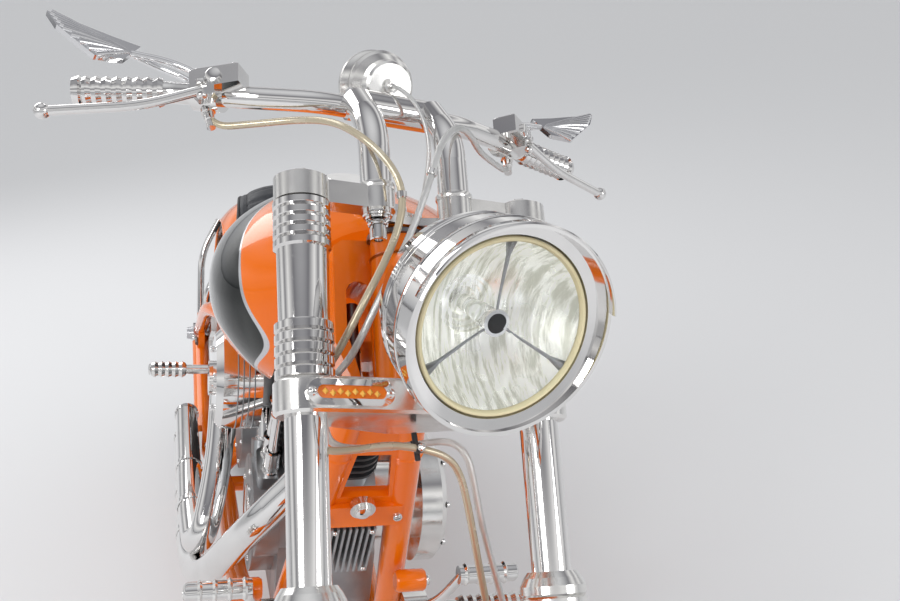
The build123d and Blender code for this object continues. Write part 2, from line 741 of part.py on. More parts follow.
with BuildPart() as cylinders:
    for bank in banks:
        with BuildSketch(on(bank, Plane.XY.offset(barrel_base))):
            Circle(54)
        extrude(amount=barrel_length)
        for fin in range(9):
            with BuildSketch(on(bank, Plane.XY.offset(barrel_base + 8 + fin * fin_pitch))):
                RectangleRounded(fin_size, fin_size, 34)
            extrude(amount=fin_thick)
        with BuildSketch(on(bank, Plane.XY.offset(barrel_base + barrel_length))):
            RectangleRounded(112, 116, 20)
        extrude(amount=head_length)
        for fin in range(3):
            with BuildSketch(on(bank, Plane.XY.offset(barrel_base + barrel_length + 6 + fin * fin_pitch))):
                RectangleRounded(fin_size + 4, fin_size + 4, 24)
            extrude(amount=fin_thick)
    add(engine_case.part, mode=Mode.SUBTRACT)
finish(cylinders, "cylinders")

with BuildPart() as rocker_covers:
    top = barrel_base + barrel_length + head_length
    for bank in banks:
        with BuildSketch(on(bank, Plane.XY.offset(top))):
            RectangleRounded(126, 132, 22)
            with Locations((-pushrod_x + 8, 0)):
                RectangleRounded(48, 58, 12)
        extrude(amount=20)
        with BuildSketch(on(bank, Plane.XY.offset(top + 20))):
            RectangleRounded(116, 120, 20)
        extrude(amount=rocker_length - 20, taper=14)
finish(rocker_covers, "rocker_covers")

cover_length = 46.0
tube_places = [(-pushrod_x, side * pushrod_half_spacing) for side in sides]
with BuildPart() as pushrod_tubes:
    for bank in banks:
        with BuildSketch(on(bank, Plane.XY.offset(tappet_top))):
            with Locations(*tube_places):
                Circle(12)
        extrude(amount=cover_length)
        with BuildSketch(on(bank, Plane.XY.offset(tappet_top + cover_length))):
            with Locations(*tube_places):
                Circle(9)
        extrude(amount=top - tappet_top - cover_length)
    add(cylinders.part, mode=Mode.SUBTRACT)
    add(engine_case.part, mode=Mode.SUBTRACT)
finish(pushrod_tubes, "pushrod_tubes")

# Primary drive cover on the left and the gearbox behind the crankcase
clutch_y = 800.0
primary_x = 153.0
primary_depth = 43.0
belt_x = 106.0
belt_width = 21.0
gear_pulley_radius = 48.0
gear_pulley_y = 836.0
with BuildPart() as primary_cover:
    with BuildSketch(on(bike, Plane.YZ.offset(primary_x))):
        with BuildSketch(mode=Mode.PRIVATE) as outline:
            with Locations((crank_y, crank_z)):
                Circle(100)
            with Locations((clutch_y, crank_z - 22)):
                Circle(101)
        make_hull(outline.sketch.edges())
    extrude(amount=primary_depth)
    chamfer(primary_cover.faces().sort_by(axis_of(bike * Rot(Y=90)))[-1].edges(), 10)
    with BuildSketch(on(bike, Plane.YZ.offset(case_half))):
        with Locations((crank_y, crank_z)):
            Circle(64)
    extrude(amount=primary_x - case_half)
finish(primary_cover, "primary_cover")

with BuildPart() as gearbox:
    with BuildSketch(on(bike, Plane.YZ.offset(-case_half))):
        with Locations((790, crank_z - 26)):
            RectangleRounded(220, 190, 34)
    extrude(amount=2 * case_half)
    with BuildSketch(on(bike, Plane.YZ.offset(-case_half))):
        with Locations((800, crank_z - 20)):
            Circle(78)
    extrude(amount=-26)
    with BuildSketch(on(bike, Plane.YZ.offset(case_half))):
        with Locations((gear_pulley_y, crank_z - 20)):
            Circle(gear_pulley_radius)
    extrude(amount=primary_x - case_half)
    add(engine_case.part, mode=Mode.SUBTRACT)
    add(frame_rails.part, mode=Mode.SUBTRACT)
    add(frame_backbone.part, mode=Mode.SUBTRACT)
finish(gearbox, "gearbox")

# Intake on the right, between the barrels, with its round cleaner
intake_z = crank_z + 220
cleaner_x = -104.0
cleaner_depth = 66.0
with BuildPart() as intake:
    with BuildSketch(on(bike, Plane.YZ.offset(-20))):
        with Locations((crank_y, intake_z)):
            Circle(24)
    extrude(amount=cleaner_x + 20)
    with BuildSketch(on(bike, Plane.YZ.offset(-84))):
        with Locations((crank_y, intake_z)):
            RectangleRounded(66, 78, 12)
    extrude(amount=cleaner_x + 84)
    add(cylinders.part, mode=Mode.SUBTRACT)
finish(intake, "intake")

with BuildPart() as air_cleaner:
    with BuildSketch(on(bike, Plane.YZ.offset(cleaner_x))):
        with Locations((crank_y, intake_z)):
            Circle(76)
    extrude(amount=-cleaner_depth)
    chamfer(air_cleaner.faces().sort_by(axis_of(bike * Rot(Y=90)))[0].edges(), 10)
    with BuildSketch(on(bike, Plane.YZ.offset(cleaner_x - cleaner_depth))):
        with Locations((crank_y, intake_z)):
            Circle(26)
    extrude(amount=-8)
finish(air_cleaner, "air_cleaner")

# Exhaust: the rear head's pipe swings forward and down outside the cases, the front head's comes down under it,
# and both run straight back one over the other, held to the lower rail by one bracket
pipe_dia = 44.0
pipe_wall = 3.0
pipe_x = -191.0
rear_run_z = 252.0
front_run_z = 199.0
pipe_end_y = 990.0
front_pipe = [(-36, 309, 590), (-36, 262, 566), (-62, 264, 500), (-122, 302, 404), (-178, 398, 262),
              (pipe_x, 530, front_run_z), (pipe_x, pipe_end_y, front_run_z)]
rear_pipe = [(-36, 649, 591), (-36, 706, 566), (-138, 716, 524), (-152, 540, 376), (-184, 452, 256),
             (pipe_x, 600, rear_run_z), (pipe_x, pipe_end_y, rear_run_z)]
pipes = [bent_tube(bike, route, pipe_dia, bore=pipe_dia - 2 * pipe_wall) for route in (front_pipe, rear_pipe)]
hanger_y = 900.0
with BuildPart() as exhaust_pipes:
    add(pipes)
    with BuildSketch(on(bike, Plane.XZ.offset(-hanger_y - 14))):
        with BuildLine():
            Polyline((-124, 160), (-124, 172), (-163, 172), (-163, 262), (pipe_x + 20, 262),
                     (pipe_x + 20, 160), close=True)
        make_face()
    extrude(amount=28)
    add(frame_rails.part, mode=Mode.SUBTRACT)
    add(cylinders.part, mode=Mode.SUBTRACT)
finish(exhaust_pipes, "exhaust_pipes")

# Fuel tank: a stretched teardrop over the backbone, with a tunnel under it
tank_sections = [
    # y, half width, top z, foot z
    (205, 98, 868, 690),
    (262, 160, 890, 618),
    (320, 184, 890, 598),
    (390, 188, 882, 597),
    (480, 176, 858, 608),
    (600, 138, 822, 642),
    (700, 90, 788, 684),
    (772, 50, 754, 690),
]
with BuildPart() as fuel_tank:
    for y, half, top, foot in tank_sections:
        with BuildSketch(on(bike, Plane(origin=(0, y, (top + foot) / 2), x_dir=(1, 0, 0), z_dir=(0, 1, 0)))):
            Ellipse(half, (top - foot) / 2)
    loft()
    with BuildSketch(on(bike, Plane.XZ.offset(-190))):
        with BuildLine():
            Polyline((-110, 560), (-110, 690), (-62, 724), (62, 724), (110, 690), (110, 560), close=True)
        make_face()
    extrude(amount=-516, mode=Mode.SUBTRACT)
    add(frame_backbone.part, mode=Mode.SUBTRACT)
finish(fuel_tank, "fuel_tank")

cap_y = 430.0
with BuildPart() as fuel_cap:
    with BuildSketch(on(bike, Plane.XY.offset(858))):
        with Locations((0, cap_y)):
            Circle(36)
    extrude(amount=24)
    chamfer(fuel_cap.faces().sort_by(axis_of(bike))[-1].edges(), 4)
    add(fuel_tank.part, mode=Mode.SUBTRACT)
finish(fuel_cap, "fuel_cap")

# Oil tank between the stays, under the seat
with BuildPart() as oil_tank:
    with BuildSketch(on(bike, Plane.YZ.offset(-78))) as tank_side:
        with BuildLine():
            Polyline((885, 420), (885, 556), (970, 566), (1012, 540), (998, 420), close=True)
        make_face()
        fillet(tank_side.vertices(), 20)
    extrude(amount=156)
    add(frame_backbone.part, mode=Mode.SUBTRACT)
finish(oil_tank, "oil_tank")

# The room that the rear fender and its wheel fill, which the seat and the tail lamp are cut to
rear_gap = 16.0
rear_half = rear_width / 2 + 12
rear_drop = 62.0
fender_skin = 4.0
with BuildPart() as fender_core:
    with BuildSketch(on(rear_hub * Rot(Z=118), Plane.XZ)):
        with BuildLine():
            edge = rear_radius + rear_gap - rear_drop
            ThreePointArc((edge, -rear_half - 3), (rear_radius + rear_gap + fender_skin, 0), (edge, rear_half + 3))
            Polyline((edge, rear_half + 3), (100, rear_half + 3), (100, -rear_half - 3), (edge, -rear_half - 3))
        make_face()
    revolve(axis=axis_of(rear_hub), revolution_arc=128)

# Seat: a low saddle that climbs to a pillion hump and runs down onto the rear fender
seat_half = 104.0
with BuildPart() as seat:
    with BuildSketch(on(bike, Plane.YZ.offset(-seat_half))):
        with BuildLine():
            Polyline((772, 700), (772, 750), (796, 704), (842, 668), (905, 655), (955, 674), (998, 714),
                     (1038, 729), (1090, 720), (1170, 692), (1245, 658), (1290, 643), (1290, 560),
                     (1180, 548), (1070, 540), (985, 556), (860, 560), (806, 620), close=True)
        make_face()
    extrude(amount=2 * seat_half)
    with BuildSketch(on(bike, Plane.XY.offset(500))):
        with BuildLine():
            Polyline((-40, 768), (-86, 836), (-seat_half, 920), (-seat_half, 1020), (-97, 1100), (-76, 1195),
                     (-44, 1290), (44, 1290), (76, 1195), (97, 1100), (seat_half, 1020), (seat_half, 920),
                     (86, 836), (40, 768), close=True)
        make_face()
    extrude(amount=300, mode=Mode.INTERSECT)
    for piece in (fender_core, fuel_tank, frame_backbone, oil_tank):
        add(piece.part, mode=Mode.SUBTRACT)
finish(seat, "seat")

# Rear fender over the wide tyre, held by two struts down each side
with BuildPart() as rear_fender:
    arc = rear_hub * Rot(Z=118)
    with BuildSketch(on(arc, Plane.XZ)):
        with BuildLine():
            inner = rear_radius + rear_gap
            edge = inner - rear_drop
            ThreePointArc((edge, -rear_half), (inner, 0), (edge, rear_half))
            Line((edge, rear_half), (edge, rear_half + 3))
            ThreePointArc((edge, rear_half + 3), (inner + fender_skin, 0), (edge, -rear_half - 3))
            Line((edge, -rear_half - 3), (edge, -rear_half))
        make_face()
    revolve(axis=axis_of(rear_hub), revolution_arc=128)
finish(rear_fender, "rear_fender")

strut_routes = [
    [(axle_plate_x, 1150, 410), (150, 1160, 470), (rear_half + 5, 1170, 522)],
    [(axle_plate_x, 1370, 325), (156, 1392, 480), (rear_half + 5, 1416, 560)],
]
strut_tubes = [bent_tube(bike, route, 16) for route in strut_routes + [mirrored(strut) for strut in strut_routes]]
with BuildPart() as fender_struts:
    add(strut_tubes)
    for piece in (rear_fender, frame_backbone, frame_rails):
        add(piece.part, mode=Mode.SUBTRACT)
finish(fender_struts, "fender_struts")

with BuildPart() as tail_lamp:
    with BuildSketch(on(rear_hub * Rot(Z=128), Plane.YZ.offset(rear_radius + rear_gap - 4))):
        RectangleRounded(46, 90, 12)
    extrude(amount=34)
    add(fender_core.part, mode=Mode.SUBTRACT)
finish(tail_lamp, "tail_lamp")

# Round trim boss in front of the crossbar, and the finned regulator under it
with BuildPart() as trim_boss:
    with BuildSketch(on(web, Plane.XY.offset(20))):
        with Locations((-4, -180)):
            Circle(16)
    extrude(amount=10)
    with BuildSketch(on(web, Plane.XY.offset(30))):
        with Locations((-4, -180)):
            Circle(11)
    extrude(amount=4)
finish(trim_boss, "trim_boss")

with BuildPart() as regulator:
    with BuildSketch(on(web, Plane.XY.offset(-16))):
        with Locations((-6, -278)):
            RectangleRounded(62, 96, 5)
    extrude(amount=14)
    for fin in range(8):
        with BuildSketch(on(web, Plane.XY.offset(-2))):
            with Locations((-6 - 28 + fin * 8, -278)):
                Rectangle(3, 92)
        extrude(amount=22)
    with BuildSketch(on(web, Plane.XY.offset(-16))):
        with Locations((-6, -228)):
            Rectangle(24, 8)
    extrude(amount=8)
    add(frame_rails.part, mode=Mode.SUBTRACT)
finish(regulator, "regulator")

# Forward foot controls: a bracket on each down tube, a ringed peg and its pedal
peg_y = 236.0
peg_z = 303.0
peg_start = 85.0
peg_length = 106.0
peg_rings = 8
with BuildPart() as foot_controls:
    for side in sides:
        tube_x = down_tube_at(peg_z)[0]
        spot = bike * Pos(side * (tube_x + down_tube_dia / 2 - 6), peg_y - 10, peg_z)
        along = spot * Rot(Y=side * 90)
        with BuildSketch(on(along, Plane.XY)):
            RectangleRounded(60, 34, 10)
        extrude(amount=34)
        with BuildSketch(on(along, Plane.XY.offset(34))):
            Circle(11)
        extrude(amount=peg_start - 30)
        with BuildSketch(on(along, Plane.XZ)):
            with BuildLine():
                step = peg_length / peg_rings
                profile = [(0, peg_start)]
                for ring in range(peg_rings):
                    profile.append((15, peg_start + ring * step))
                    profile.append((18, peg_start + (ring + 0.5) * step))
                profile.append((15, peg_start + peg_length))
                profile.append((0, peg_start + peg_length + 2))
                Polyline(*profile, close=True)
            make_face()
        revolve(axis=axis_of(along))
    add(frame_rails.part, mode=Mode.SUBTRACT)
finish(foot_controls, "foot_controls")

pedal_route = [(106, 222, 308), (126, 176, 356), (140, 140, 420)]
pedal_arms = [bent_tube(bike, route, 13) for route in (pedal_route, mirrored(pedal_route))]
with BuildPart() as pedals:
    add(pedal_arms)
    for side in sides:
        with BuildSketch(on(bike, Plane.YZ.offset(side * 134))):
            with Locations((140, 420)):
                Circle(12)
        extrude(amount=side * 78)
    add(foot_controls.part, mode=Mode.SUBTRACT)
finish(pedals, "pedals")

# Rear axle, disc, caliper, belt and its two pulleys
plate_face_x = axle_plate_x + 7
with BuildPart() as rear_axle:
    with BuildSketch(on(bike, Plane.YZ.offset(-plate_face_x))):
        with Locations((rear_axle_y, rear_axle_z)):
            Circle(rear_axle_radius)
    extrude(amount=2 * plate_face_x)
    for side in sides:
        with BuildSketch(on(bike, Plane.YZ.offset(side * (rear_hub_half + 1)))):
            with Locations((rear_axle_y, rear_axle_z)):
                Circle(18)
        extrude(amount=side * (axle_plate_x - 8 - rear_hub_half))
        with BuildSketch(on(bike, Plane.YZ.offset(side * plate_face_x))):
            with Locations((rear_axle_y, rear_axle_z)):
                RegularPolygon(22, 6)
        extrude(amount=side * 10)
        with BuildSketch(on(bike, Plane.YZ.offset(side * (plate_face_x + 10)))):
            with Locations((rear_axle_y, rear_axle_z)):
                Circle(16)
        extrude(amount=side * 14, taper=12)
finish(rear_axle, "rear_axle")

with BuildPart() as rear_disc:
    with BuildSketch(on(rear_hub, Plane.XY.offset(-98))):
        Circle(disc_dia / 2)
        Circle(22, mode=Mode.SUBTRACT)
        with PolarLocations(86, 6):
            Circle(20, mode=Mode.SUBTRACT)
        with PolarLocations(disc_dia / 2 - 18, 24):
            Circle(4, mode=Mode.SUBTRACT)
    extrude(amount=6)
    with BuildSketch(on(rear_hub, Plane.XY.offset(-92))):
        Circle(60)
        Circle(22, mode=Mode.SUBTRACT)
    extrude(amount=92 - rear_hub_half)
finish(rear_disc, "rear_disc")

caliper_plate_x = -138.0
with BuildPart() as rear_caliper:
    seat_plane = rear_hub * Rot(Z=62)
    with BuildSketch(on(seat_plane, Plane.XY.offset(caliper_plate_x + 12))):
        with Locations((-disc_dia / 2 + 10, 0)):
            RectangleRounded(60, 100, 14)
    extrude(amount=64)
    with BuildSketch(on(seat_plane, Plane.XY.offset(-104))):
        Circle(disc_dia / 2 + 5)
    extrude(amount=18, mode=Mode.SUBTRACT)
    with BuildSketch(on(bike, Plane.YZ.offset(caliper_plate_x))):
        with Locations((rear_axle_y, rear_axle_z)):
            Circle(34)
        with BuildLine():
            Polyline((rear_axle_y - 32, rear_axle_z - 10), (rear_axle_y + 20, rear_axle_z + 28),
                     (rear_axle_y - 60, rear_axle_z + 130), (rear_axle_y - 158, rear_axle_z + 66), close=True)
        make_face()
    extrude(amount=12)
    for piece in (rear_axle, frame_rails, frame_backbone, fender_struts):
        add(piece.part, mode=Mode.SUBTRACT)
finish(rear_caliper, "rear_caliper")

pulley_radius = 142.0
with BuildPart() as rear_pulley:
    with BuildSketch(on(rear_hub, Plane.XY.offset(belt_x - 1))):
        Circle(pulley_radius)
        Circle(50, mode=Mode.SUBTRACT)
        with PolarLocations(96, 5):
            Circle(30, mode=Mode.SUBTRACT)
    extrude(amount=belt_width + 2)
    with BuildSketch(on(rear_hub, Plane.XY.offset(rear_hub_half))):
        Circle(60)
        Circle(22, mode=Mode.SUBTRACT)
    extrude(amount=belt_x - 1 - rear_hub_half)
finish(rear_pulley, "rear_pulley")

belt_thick = 6.0
with BuildPart() as drive_belt:
    with BuildSketch(on(bike, Plane.YZ.offset(belt_x))):
        for grow, mode in ((belt_thick, Mode.ADD), (0.3, Mode.SUBTRACT)):
            with BuildSketch(mode=Mode.PRIVATE) as loop:
                with Locations((gear_pulley_y, crank_z - 20)):
                    Circle(gear_pulley_radius + grow)
                with Locations((rear_axle_y, rear_axle_z)):
                    Circle(pulley_radius + grow)
            make_hull(loop.sketch.edges(), mode=mode)
    extrude(amount=belt_width)
finish(drive_belt, "drive_belt")

# Side stand: its leg swings back and up about a tilted pivot bolt
stand_pivot = (146.0, 470.0, 158.0)
stand_down = Vector(0.42, -0.42, -0.80).normalized()
stand_folded = Vector(0.10, 0.99, 0.02).normalized()
stand_axis = stand_down.cross(stand_folded).normalized()
foot_thick = 10.0
pivot_place = Plane(bike * Pos(*stand_pivot)).origin
down_place = Plane(bike * Plane(origin=(0, 0, 0), z_dir=stand_down).location)
stand_length = (pivot_place.Z - foot_thick) / -down_place.z_dir.Z
stand = bike * Plane(origin=stand_pivot, x_dir=stand_down, z_dir=stand_axis).location
with BuildPart() as side_stand:
    with BuildSketch(on(stand, Plane.XY.offset(-9))):
        with BuildLine():
            Polyline((-16, -18), (24, -18), (stand_length - 18, -11), (stand_length, -9),
                     (stand_length, 9), (stand_length - 18, 11), (24, 18), (-16, 18), close=True)
        make_face()
    extrude(amount=18)
    foot_place = pivot_place + down_place.z_dir * stand_length
    with BuildSketch(Plane.XY):
        with Locations((foot_place.X + 8, foot_place.Y)):
            SlotOverall(78, 44, rotation=80)
    extrude(amount=foot_thick)
    with BuildSketch(on(stand, Plane.XY.offset(-10))):
        Circle(8.1)
    extrude(amount=20, mode=Mode.SUBTRACT)
finish(side_stand, "side_stand")

with BuildPart() as stand_bracket:
    with BuildSketch(on(stand, Plane.XY.offset(9.3))):
        Circle(20)
    extrude(amount=10)
    with BuildSketch(on(stand, Plane.XY.offset(-16))):
        Circle(8)
    extrude(amount=26)
    with BuildSketch(on(stand, Plane.XY.offset(-16))):
        RegularPolygon(13, 6)
    extrude(amount=6.7)
    with BuildSketch(on(stand, Plane.XY.offset(-9.3 - 40))):
        Circle(20)
    extrude(amount=33.3)
    add(frame_rails.part, mode=Mode.SUBTRACT)
finish(stand_bracket, "stand_bracket")

# Passenger pegs on the rear uprights
rear_peg_y = 872.0
rear_peg_z = 402.0
with BuildPart() as rear_pegs:
    for side in sides:
        along = bike * Pos(0, rear_peg_y, rear_peg_z) * Rot(Y=side * 90)
        profile = [(0, 80), (9, 80), (9, 198)]
        for ring in range(5):
            profile.append((12.5, 200 + ring * 12.4))
            profile.append((15.5, 206.2 + ring * 12.4))
        profile.append((12.5, 262))
        profile.append((0, 264))
        with BuildSketch(on(along, Plane.XZ)):
            with BuildLine():
                Polyline(*profile, close=True)
            make_face()
        revolve(axis=axis_of(along))
    add(frame_backbone.part, mode=Mode.SUBTRACT)
finish(rear_pegs, "rear_pegs")

# Hoses and the gauge lead, whole from end to end: from the hand controls under the bar, in front of the
# risers, down between the lamp and the neck, round behind the lower tree's right arm and down the left leg
hose_dia = 8.0
lead_dia = 5.0
brake_hose = [(-196, 67, 370.4), (-193, 62, 348), (-152, 34, 346), (-110, 4, 344), (-88, -34, 328), (-76, -72, 300),
              (-54, -86, 274), (-36, -90, 247), (-31, -90, 220), (-37, -85, 187), (-51, -76, 152), (-69, -64, 115),
              (-83, -48, 82), (-91, -26, 61), (-99, -5, 50), (-103, 7, 34), (-103, 7, 2), (-94, 4, -24),
              (-60, -10, -24), (-30, -20, -20), (2, -24, -24), (36, -22, -32), (54, -14, -50), (66, -2, -80),
              (76, 8, -112), (87, 20, -147), (97, 28, -184), (101, 36, -250), (98, 44, 214 - fork_length),
              (93, 50, 182 - fork_length), (93, 27.5, 144.6 - fork_length)]
second_hose = [(196, 67, 370.4), (193, 62, 348), (158, 36, 344), (118, 4, 340), (84, -40, 334), (46, -80, 324),
               (18, -92, 296), (4, -96, 262), (-9, -98, 228), (-24, -93, 188), (-41, -85, 150), (-58, -75, 114),
               (-69, -60, 84), (-74, -34, 64), (-79, -8, 54), (-86, 13, 36), (-86, 15, 2), (-76, 15, -18),
               (-36, 8, -20), (8, 2, -17), (46, -10, -13), (62, -18, -30), (73, -8, -64), (83, 2, -98),
               (99, 14, -140), (114, 22, -184), (120, 14, -240), (128, -6, -286), (129, -28.2, -300)]
gauge_lead = [(0, -5, 402), (0, -27, 390), (14, -46, 360), (26, -48, 316), (24, -34, 268), (16, -24, 227)]
hose_runs = [(brake_hose, hose_dia), (second_hose, hose_dia), (gauge_lead, lead_dia)]
hoses = [bent_tube(fork, route, dia) for route, dia in hose_runs]
for hose, (route, dia) in zip(hoses, hose_runs):
    print("hose length", round(hose.volume / (pi * dia**2 / 4)), "tightest bend", round(min(soft_bends(route))))
with BuildPart() as control_hoses:
    add(hoses)
finish(control_hoses, "control_hoses")
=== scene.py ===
import bmesh
import bpy
import json
import math
from mathutils import Matrix, Vector

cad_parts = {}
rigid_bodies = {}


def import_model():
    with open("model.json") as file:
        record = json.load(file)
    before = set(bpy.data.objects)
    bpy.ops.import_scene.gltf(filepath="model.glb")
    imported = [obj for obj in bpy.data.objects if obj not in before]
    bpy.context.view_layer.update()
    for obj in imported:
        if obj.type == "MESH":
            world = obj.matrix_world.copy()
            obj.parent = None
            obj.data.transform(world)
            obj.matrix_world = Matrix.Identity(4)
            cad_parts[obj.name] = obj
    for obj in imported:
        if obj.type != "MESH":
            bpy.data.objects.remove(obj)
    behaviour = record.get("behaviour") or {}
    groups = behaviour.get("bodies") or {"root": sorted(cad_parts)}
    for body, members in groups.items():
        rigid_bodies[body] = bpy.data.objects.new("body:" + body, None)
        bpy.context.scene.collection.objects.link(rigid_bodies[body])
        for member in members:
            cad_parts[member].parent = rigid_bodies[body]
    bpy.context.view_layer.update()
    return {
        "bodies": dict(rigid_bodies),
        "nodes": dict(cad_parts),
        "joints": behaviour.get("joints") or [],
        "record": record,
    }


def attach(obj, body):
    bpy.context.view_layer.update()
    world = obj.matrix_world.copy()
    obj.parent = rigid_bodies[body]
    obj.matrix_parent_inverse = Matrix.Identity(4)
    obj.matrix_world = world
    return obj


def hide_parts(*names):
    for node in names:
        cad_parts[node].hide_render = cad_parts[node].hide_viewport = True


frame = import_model()
nodes = frame["nodes"]
joints = {joint["name"]: joint for joint in frame["joints"]}
print("frame loaded:", len(nodes), "nodes")

# the machine's own frames, read back from its joints; places below are in millimetres in one of them
stance = {"rake": 36, "stemPoint": 126, "headHeight": 705.8, "forkOffset": 56, "legX": 129, "riserX": 46,
          "lampReach": 164, "lampHeight": 50, "lampAim": 33, "gauge": (0, -5, 402), "gaugeTilt": -62,
          "crank": (0, 480, 335), "bankTilt": 22.5}
millimetre = 0.001
sides = (-1, 1)


def frameOf(origin, xAxis, zAxis):
    xAxis = Vector(xAxis).normalized()
    zAxis = (Vector(zAxis) - xAxis * xAxis.dot(Vector(zAxis))).normalized()
    turn = Matrix((xAxis, zAxis.cross(xAxis), zAxis)).transposed().to_4x4()
    return Matrix.Translation(origin) @ turn @ Matrix.Scale(millimetre, 4)


def spun(degrees, axis):
    return Matrix.Rotation(math.radians(degrees), 4, axis)


def shifted(x, y, z):
    return Matrix.Translation((x, y, z))


def facing(place, spot, toward):
    # a frame at a spot of another one, its Z axis towards the given direction
    turn = Vector(toward).to_track_quat("Z", "Y").to_matrix().to_4x4()
    return place @ Matrix.Translation(spot) @ turn


def hubOf(joint, place):
    # a wheel's frame, its Z axis along the axle
    return Matrix.Translation(Vector(joints[joint]["pos_m"])) @ place.to_3x3().to_4x4() @ spun(90, "Y")


rake = math.radians(stance["rake"])
stemAxis = Vector(joints["steering_turn"]["axis"]).normalized()
stemOrigin = Vector(joints["steering_turn"]["pos_m"]) - stemAxis * stance["stemPoint"] * millimetre
bikeX = Vector(joints["rear_wheel_spin"]["axis"])
bikeZ = stemAxis * math.cos(rake) - stemAxis.cross(bikeX) * math.sin(rake)
bike = frameOf(stemOrigin - bikeZ * stance["headHeight"] * millimetre, bikeX, bikeZ)
head = frameOf(stemOrigin, bikeX, stemAxis)
fork = frameOf(stemOrigin, joints["front_wheel_spin"]["axis"], stemAxis)
frontHub = hubOf("front_wheel_spin", fork)
rearHub = hubOf("rear_wheel_spin", bike)
lamp = fork @ shifted(0, -stance["forkOffset"] - stance["lampReach"], stance["lampHeight"])
lamp = lamp @ spun(90 + stance["lampAim"], "X")
gauge = fork @ shifted(*stance["gauge"]) @ spun(stance["gaugeTilt"], "X")
crank = bike @ shifted(*stance["crank"])
banks = [crank @ spun(stance["bankTilt"], "X"), crank @ spun(-stance["bankTilt"], "X")]


class Wire:
    # an output socket that takes part in arithmetic: each operator adds its Math node

    def __init__(self, board, socket):
        self.board = board
        self.socket = socket

    def maths(self, kind, first, second=0.0):
        return self.board.node("ShaderNodeMath", {"operation": kind}, {0: first, 1: second})

    def __add__(self, other):
        return self.maths("ADD", self, other)

    def __radd__(self, other):
        return self.maths("ADD", other, self)

    def __sub__(self, other):
        return self.maths("SUBTRACT", self, other)

    def __rsub__(self, other):
        return self.maths("SUBTRACT", other, self)

    def __mul__(self, other):
        return self.maths("MULTIPLY", self, other)

    def __rmul__(self, other):
        return self.maths("MULTIPLY", other, self)

    def lowest(self, other):
        return self.maths("MINIMUM", self, other)

    def highest(self, other):
        return self.maths("MAXIMUM", self, other)

    def sine(self):
        return self.maths("SINE", self)

    def size(self):
        return self.maths("ABSOLUTE", self)

    def ramp(self, low, high, fromValue=0.0, toValue=1.0):
        return self.board.node("ShaderNodeMapRange", {"clamp": True, "interpolation_type": "SMOOTHSTEP"},
                               {0: self, 1: low, 2: high, 3: fromValue, 4: toValue})


class Board:
    # the node tree of a material or of the world

    def __init__(self, owner):
        owner.use_nodes = True
        self.owner = owner
        self.tree = owner.node_tree
        self.coordinates = self.node("ShaderNodeTexCoord").socket.node.outputs

    def node(self, kind, settings=None, values=None, output=0):
        made = self.tree.nodes.new(kind)
        for key, value in (settings or {}).items():
            if key == "stops":
                self.stops(made.color_ramp, value)
            else:
                setattr(made, key, value)
        for key, value in (values or {}).items():
            self.plug(made.inputs[key], value)
        return Wire(self, made.outputs[output])

    def stops(self, ramp, stops):
        while len(ramp.elements) < len(stops):
            ramp.elements.new(0.5)
        for element, (place, colour) in zip(ramp.elements, stops):
            element.position = place
            element.color = (*colour, 1)

    def plug(self, socket, value):
        if isinstance(value, Wire):
            self.tree.links.new(value.socket, socket)
        elif isinstance(value, tuple) and len(value) == 3 and socket.type == "RGBA":
            socket.default_value = (*value, 1)
        else:
            socket.default_value = value

    def place(self, matrix=None):
        # object coordinates, or the same turned into one of the machine's frames, in millimetres
        here = Wire(self, self.coordinates["Object"])
        if matrix is None:
            return here
        back = matrix.inverted()
        return self.node("ShaderNodeMapping", {"vector_type": "POINT"}, {
            "Vector": here, "Location": tuple(back.to_translation()), "Rotation": tuple(back.to_euler()),
            "Scale": tuple(back.to_scale())})

    def axes(self, vector):
        first = self.node("ShaderNodeSeparateXYZ", None, {0: vector})
        return [Wire(self, output) for output in first.socket.node.outputs]

    def noise(self, scale, detail=3.0, roughness=0.5, vector=None, stretch=None):
        vector = vector or self.place()
        if stretch:
            vector = self.node("ShaderNodeMapping", None, {"Vector": vector, "Scale": stretch})
        return self.node("ShaderNodeTexNoise", None, {
            "Vector": vector, "Scale": scale, "Detail": detail, "Roughness": roughness})

    def blend(self, factor, first, second):
        return self.node("ShaderNodeMix", {"data_type": "RGBA"}, {0: factor, 6: first, 7: second}, 2)

    def bump(self, height, strength, distance):
        return self.node("ShaderNodeBump", None,
                         {"Height": height, "Strength": strength, "Distance": distance})

    def finish(self, **sockets):
        shader = self.tree.nodes["Principled BSDF"]
        for name, value in sockets.items():
            self.plug(shader.inputs[name.replace("_", " ")], value)
        return self.owner


def newBoard(name):
    return Board(bpy.data.materials.new(name))


def chromeFinish(name, tint, film, rough):
    # plated metal with a thin smeared film and fine specks
    style = {"smear": 22, "speck": 240, "film": 0.35, "smearRough": 0.06, "speckRough": 0.05}
    board = newBoard(name)
    smear = board.noise(style["smear"], 4).ramp(0.45, 0.75)
    speck = board.noise(style["speck"], 2).ramp(0.62, 0.72)
    return board.finish(Base_Color=board.blend(smear * style["film"], tint, film), Metallic=1.0,
                        Roughness=rough + smear * style["smearRough"] + speck * style["speckRough"])


def alloyFinish(name, tint, dull, rough):
    # hand-polished alloy: cloudy patches and fine scratches
    style = {"cloud": 30, "dulled": 0.5, "cloudRough": 0.13, "scratch": 700, "scratchLie": (1, 1, 0.06),
             "scratchDepth": 0.0001}
    board = newBoard(name)
    cloud = board.noise(style["cloud"], 5).ramp(0.35, 0.7)
    scratch = board.noise(style["scratch"], 2, 0.6, None, style["scratchLie"])
    return board.finish(Base_Color=board.blend(cloud * style["dulled"], tint, dull), Metallic=1.0,
                        Roughness=rough + cloud * style["cloudRough"],
                        Normal=board.bump(scratch, 0.07, style["scratchDepth"]))


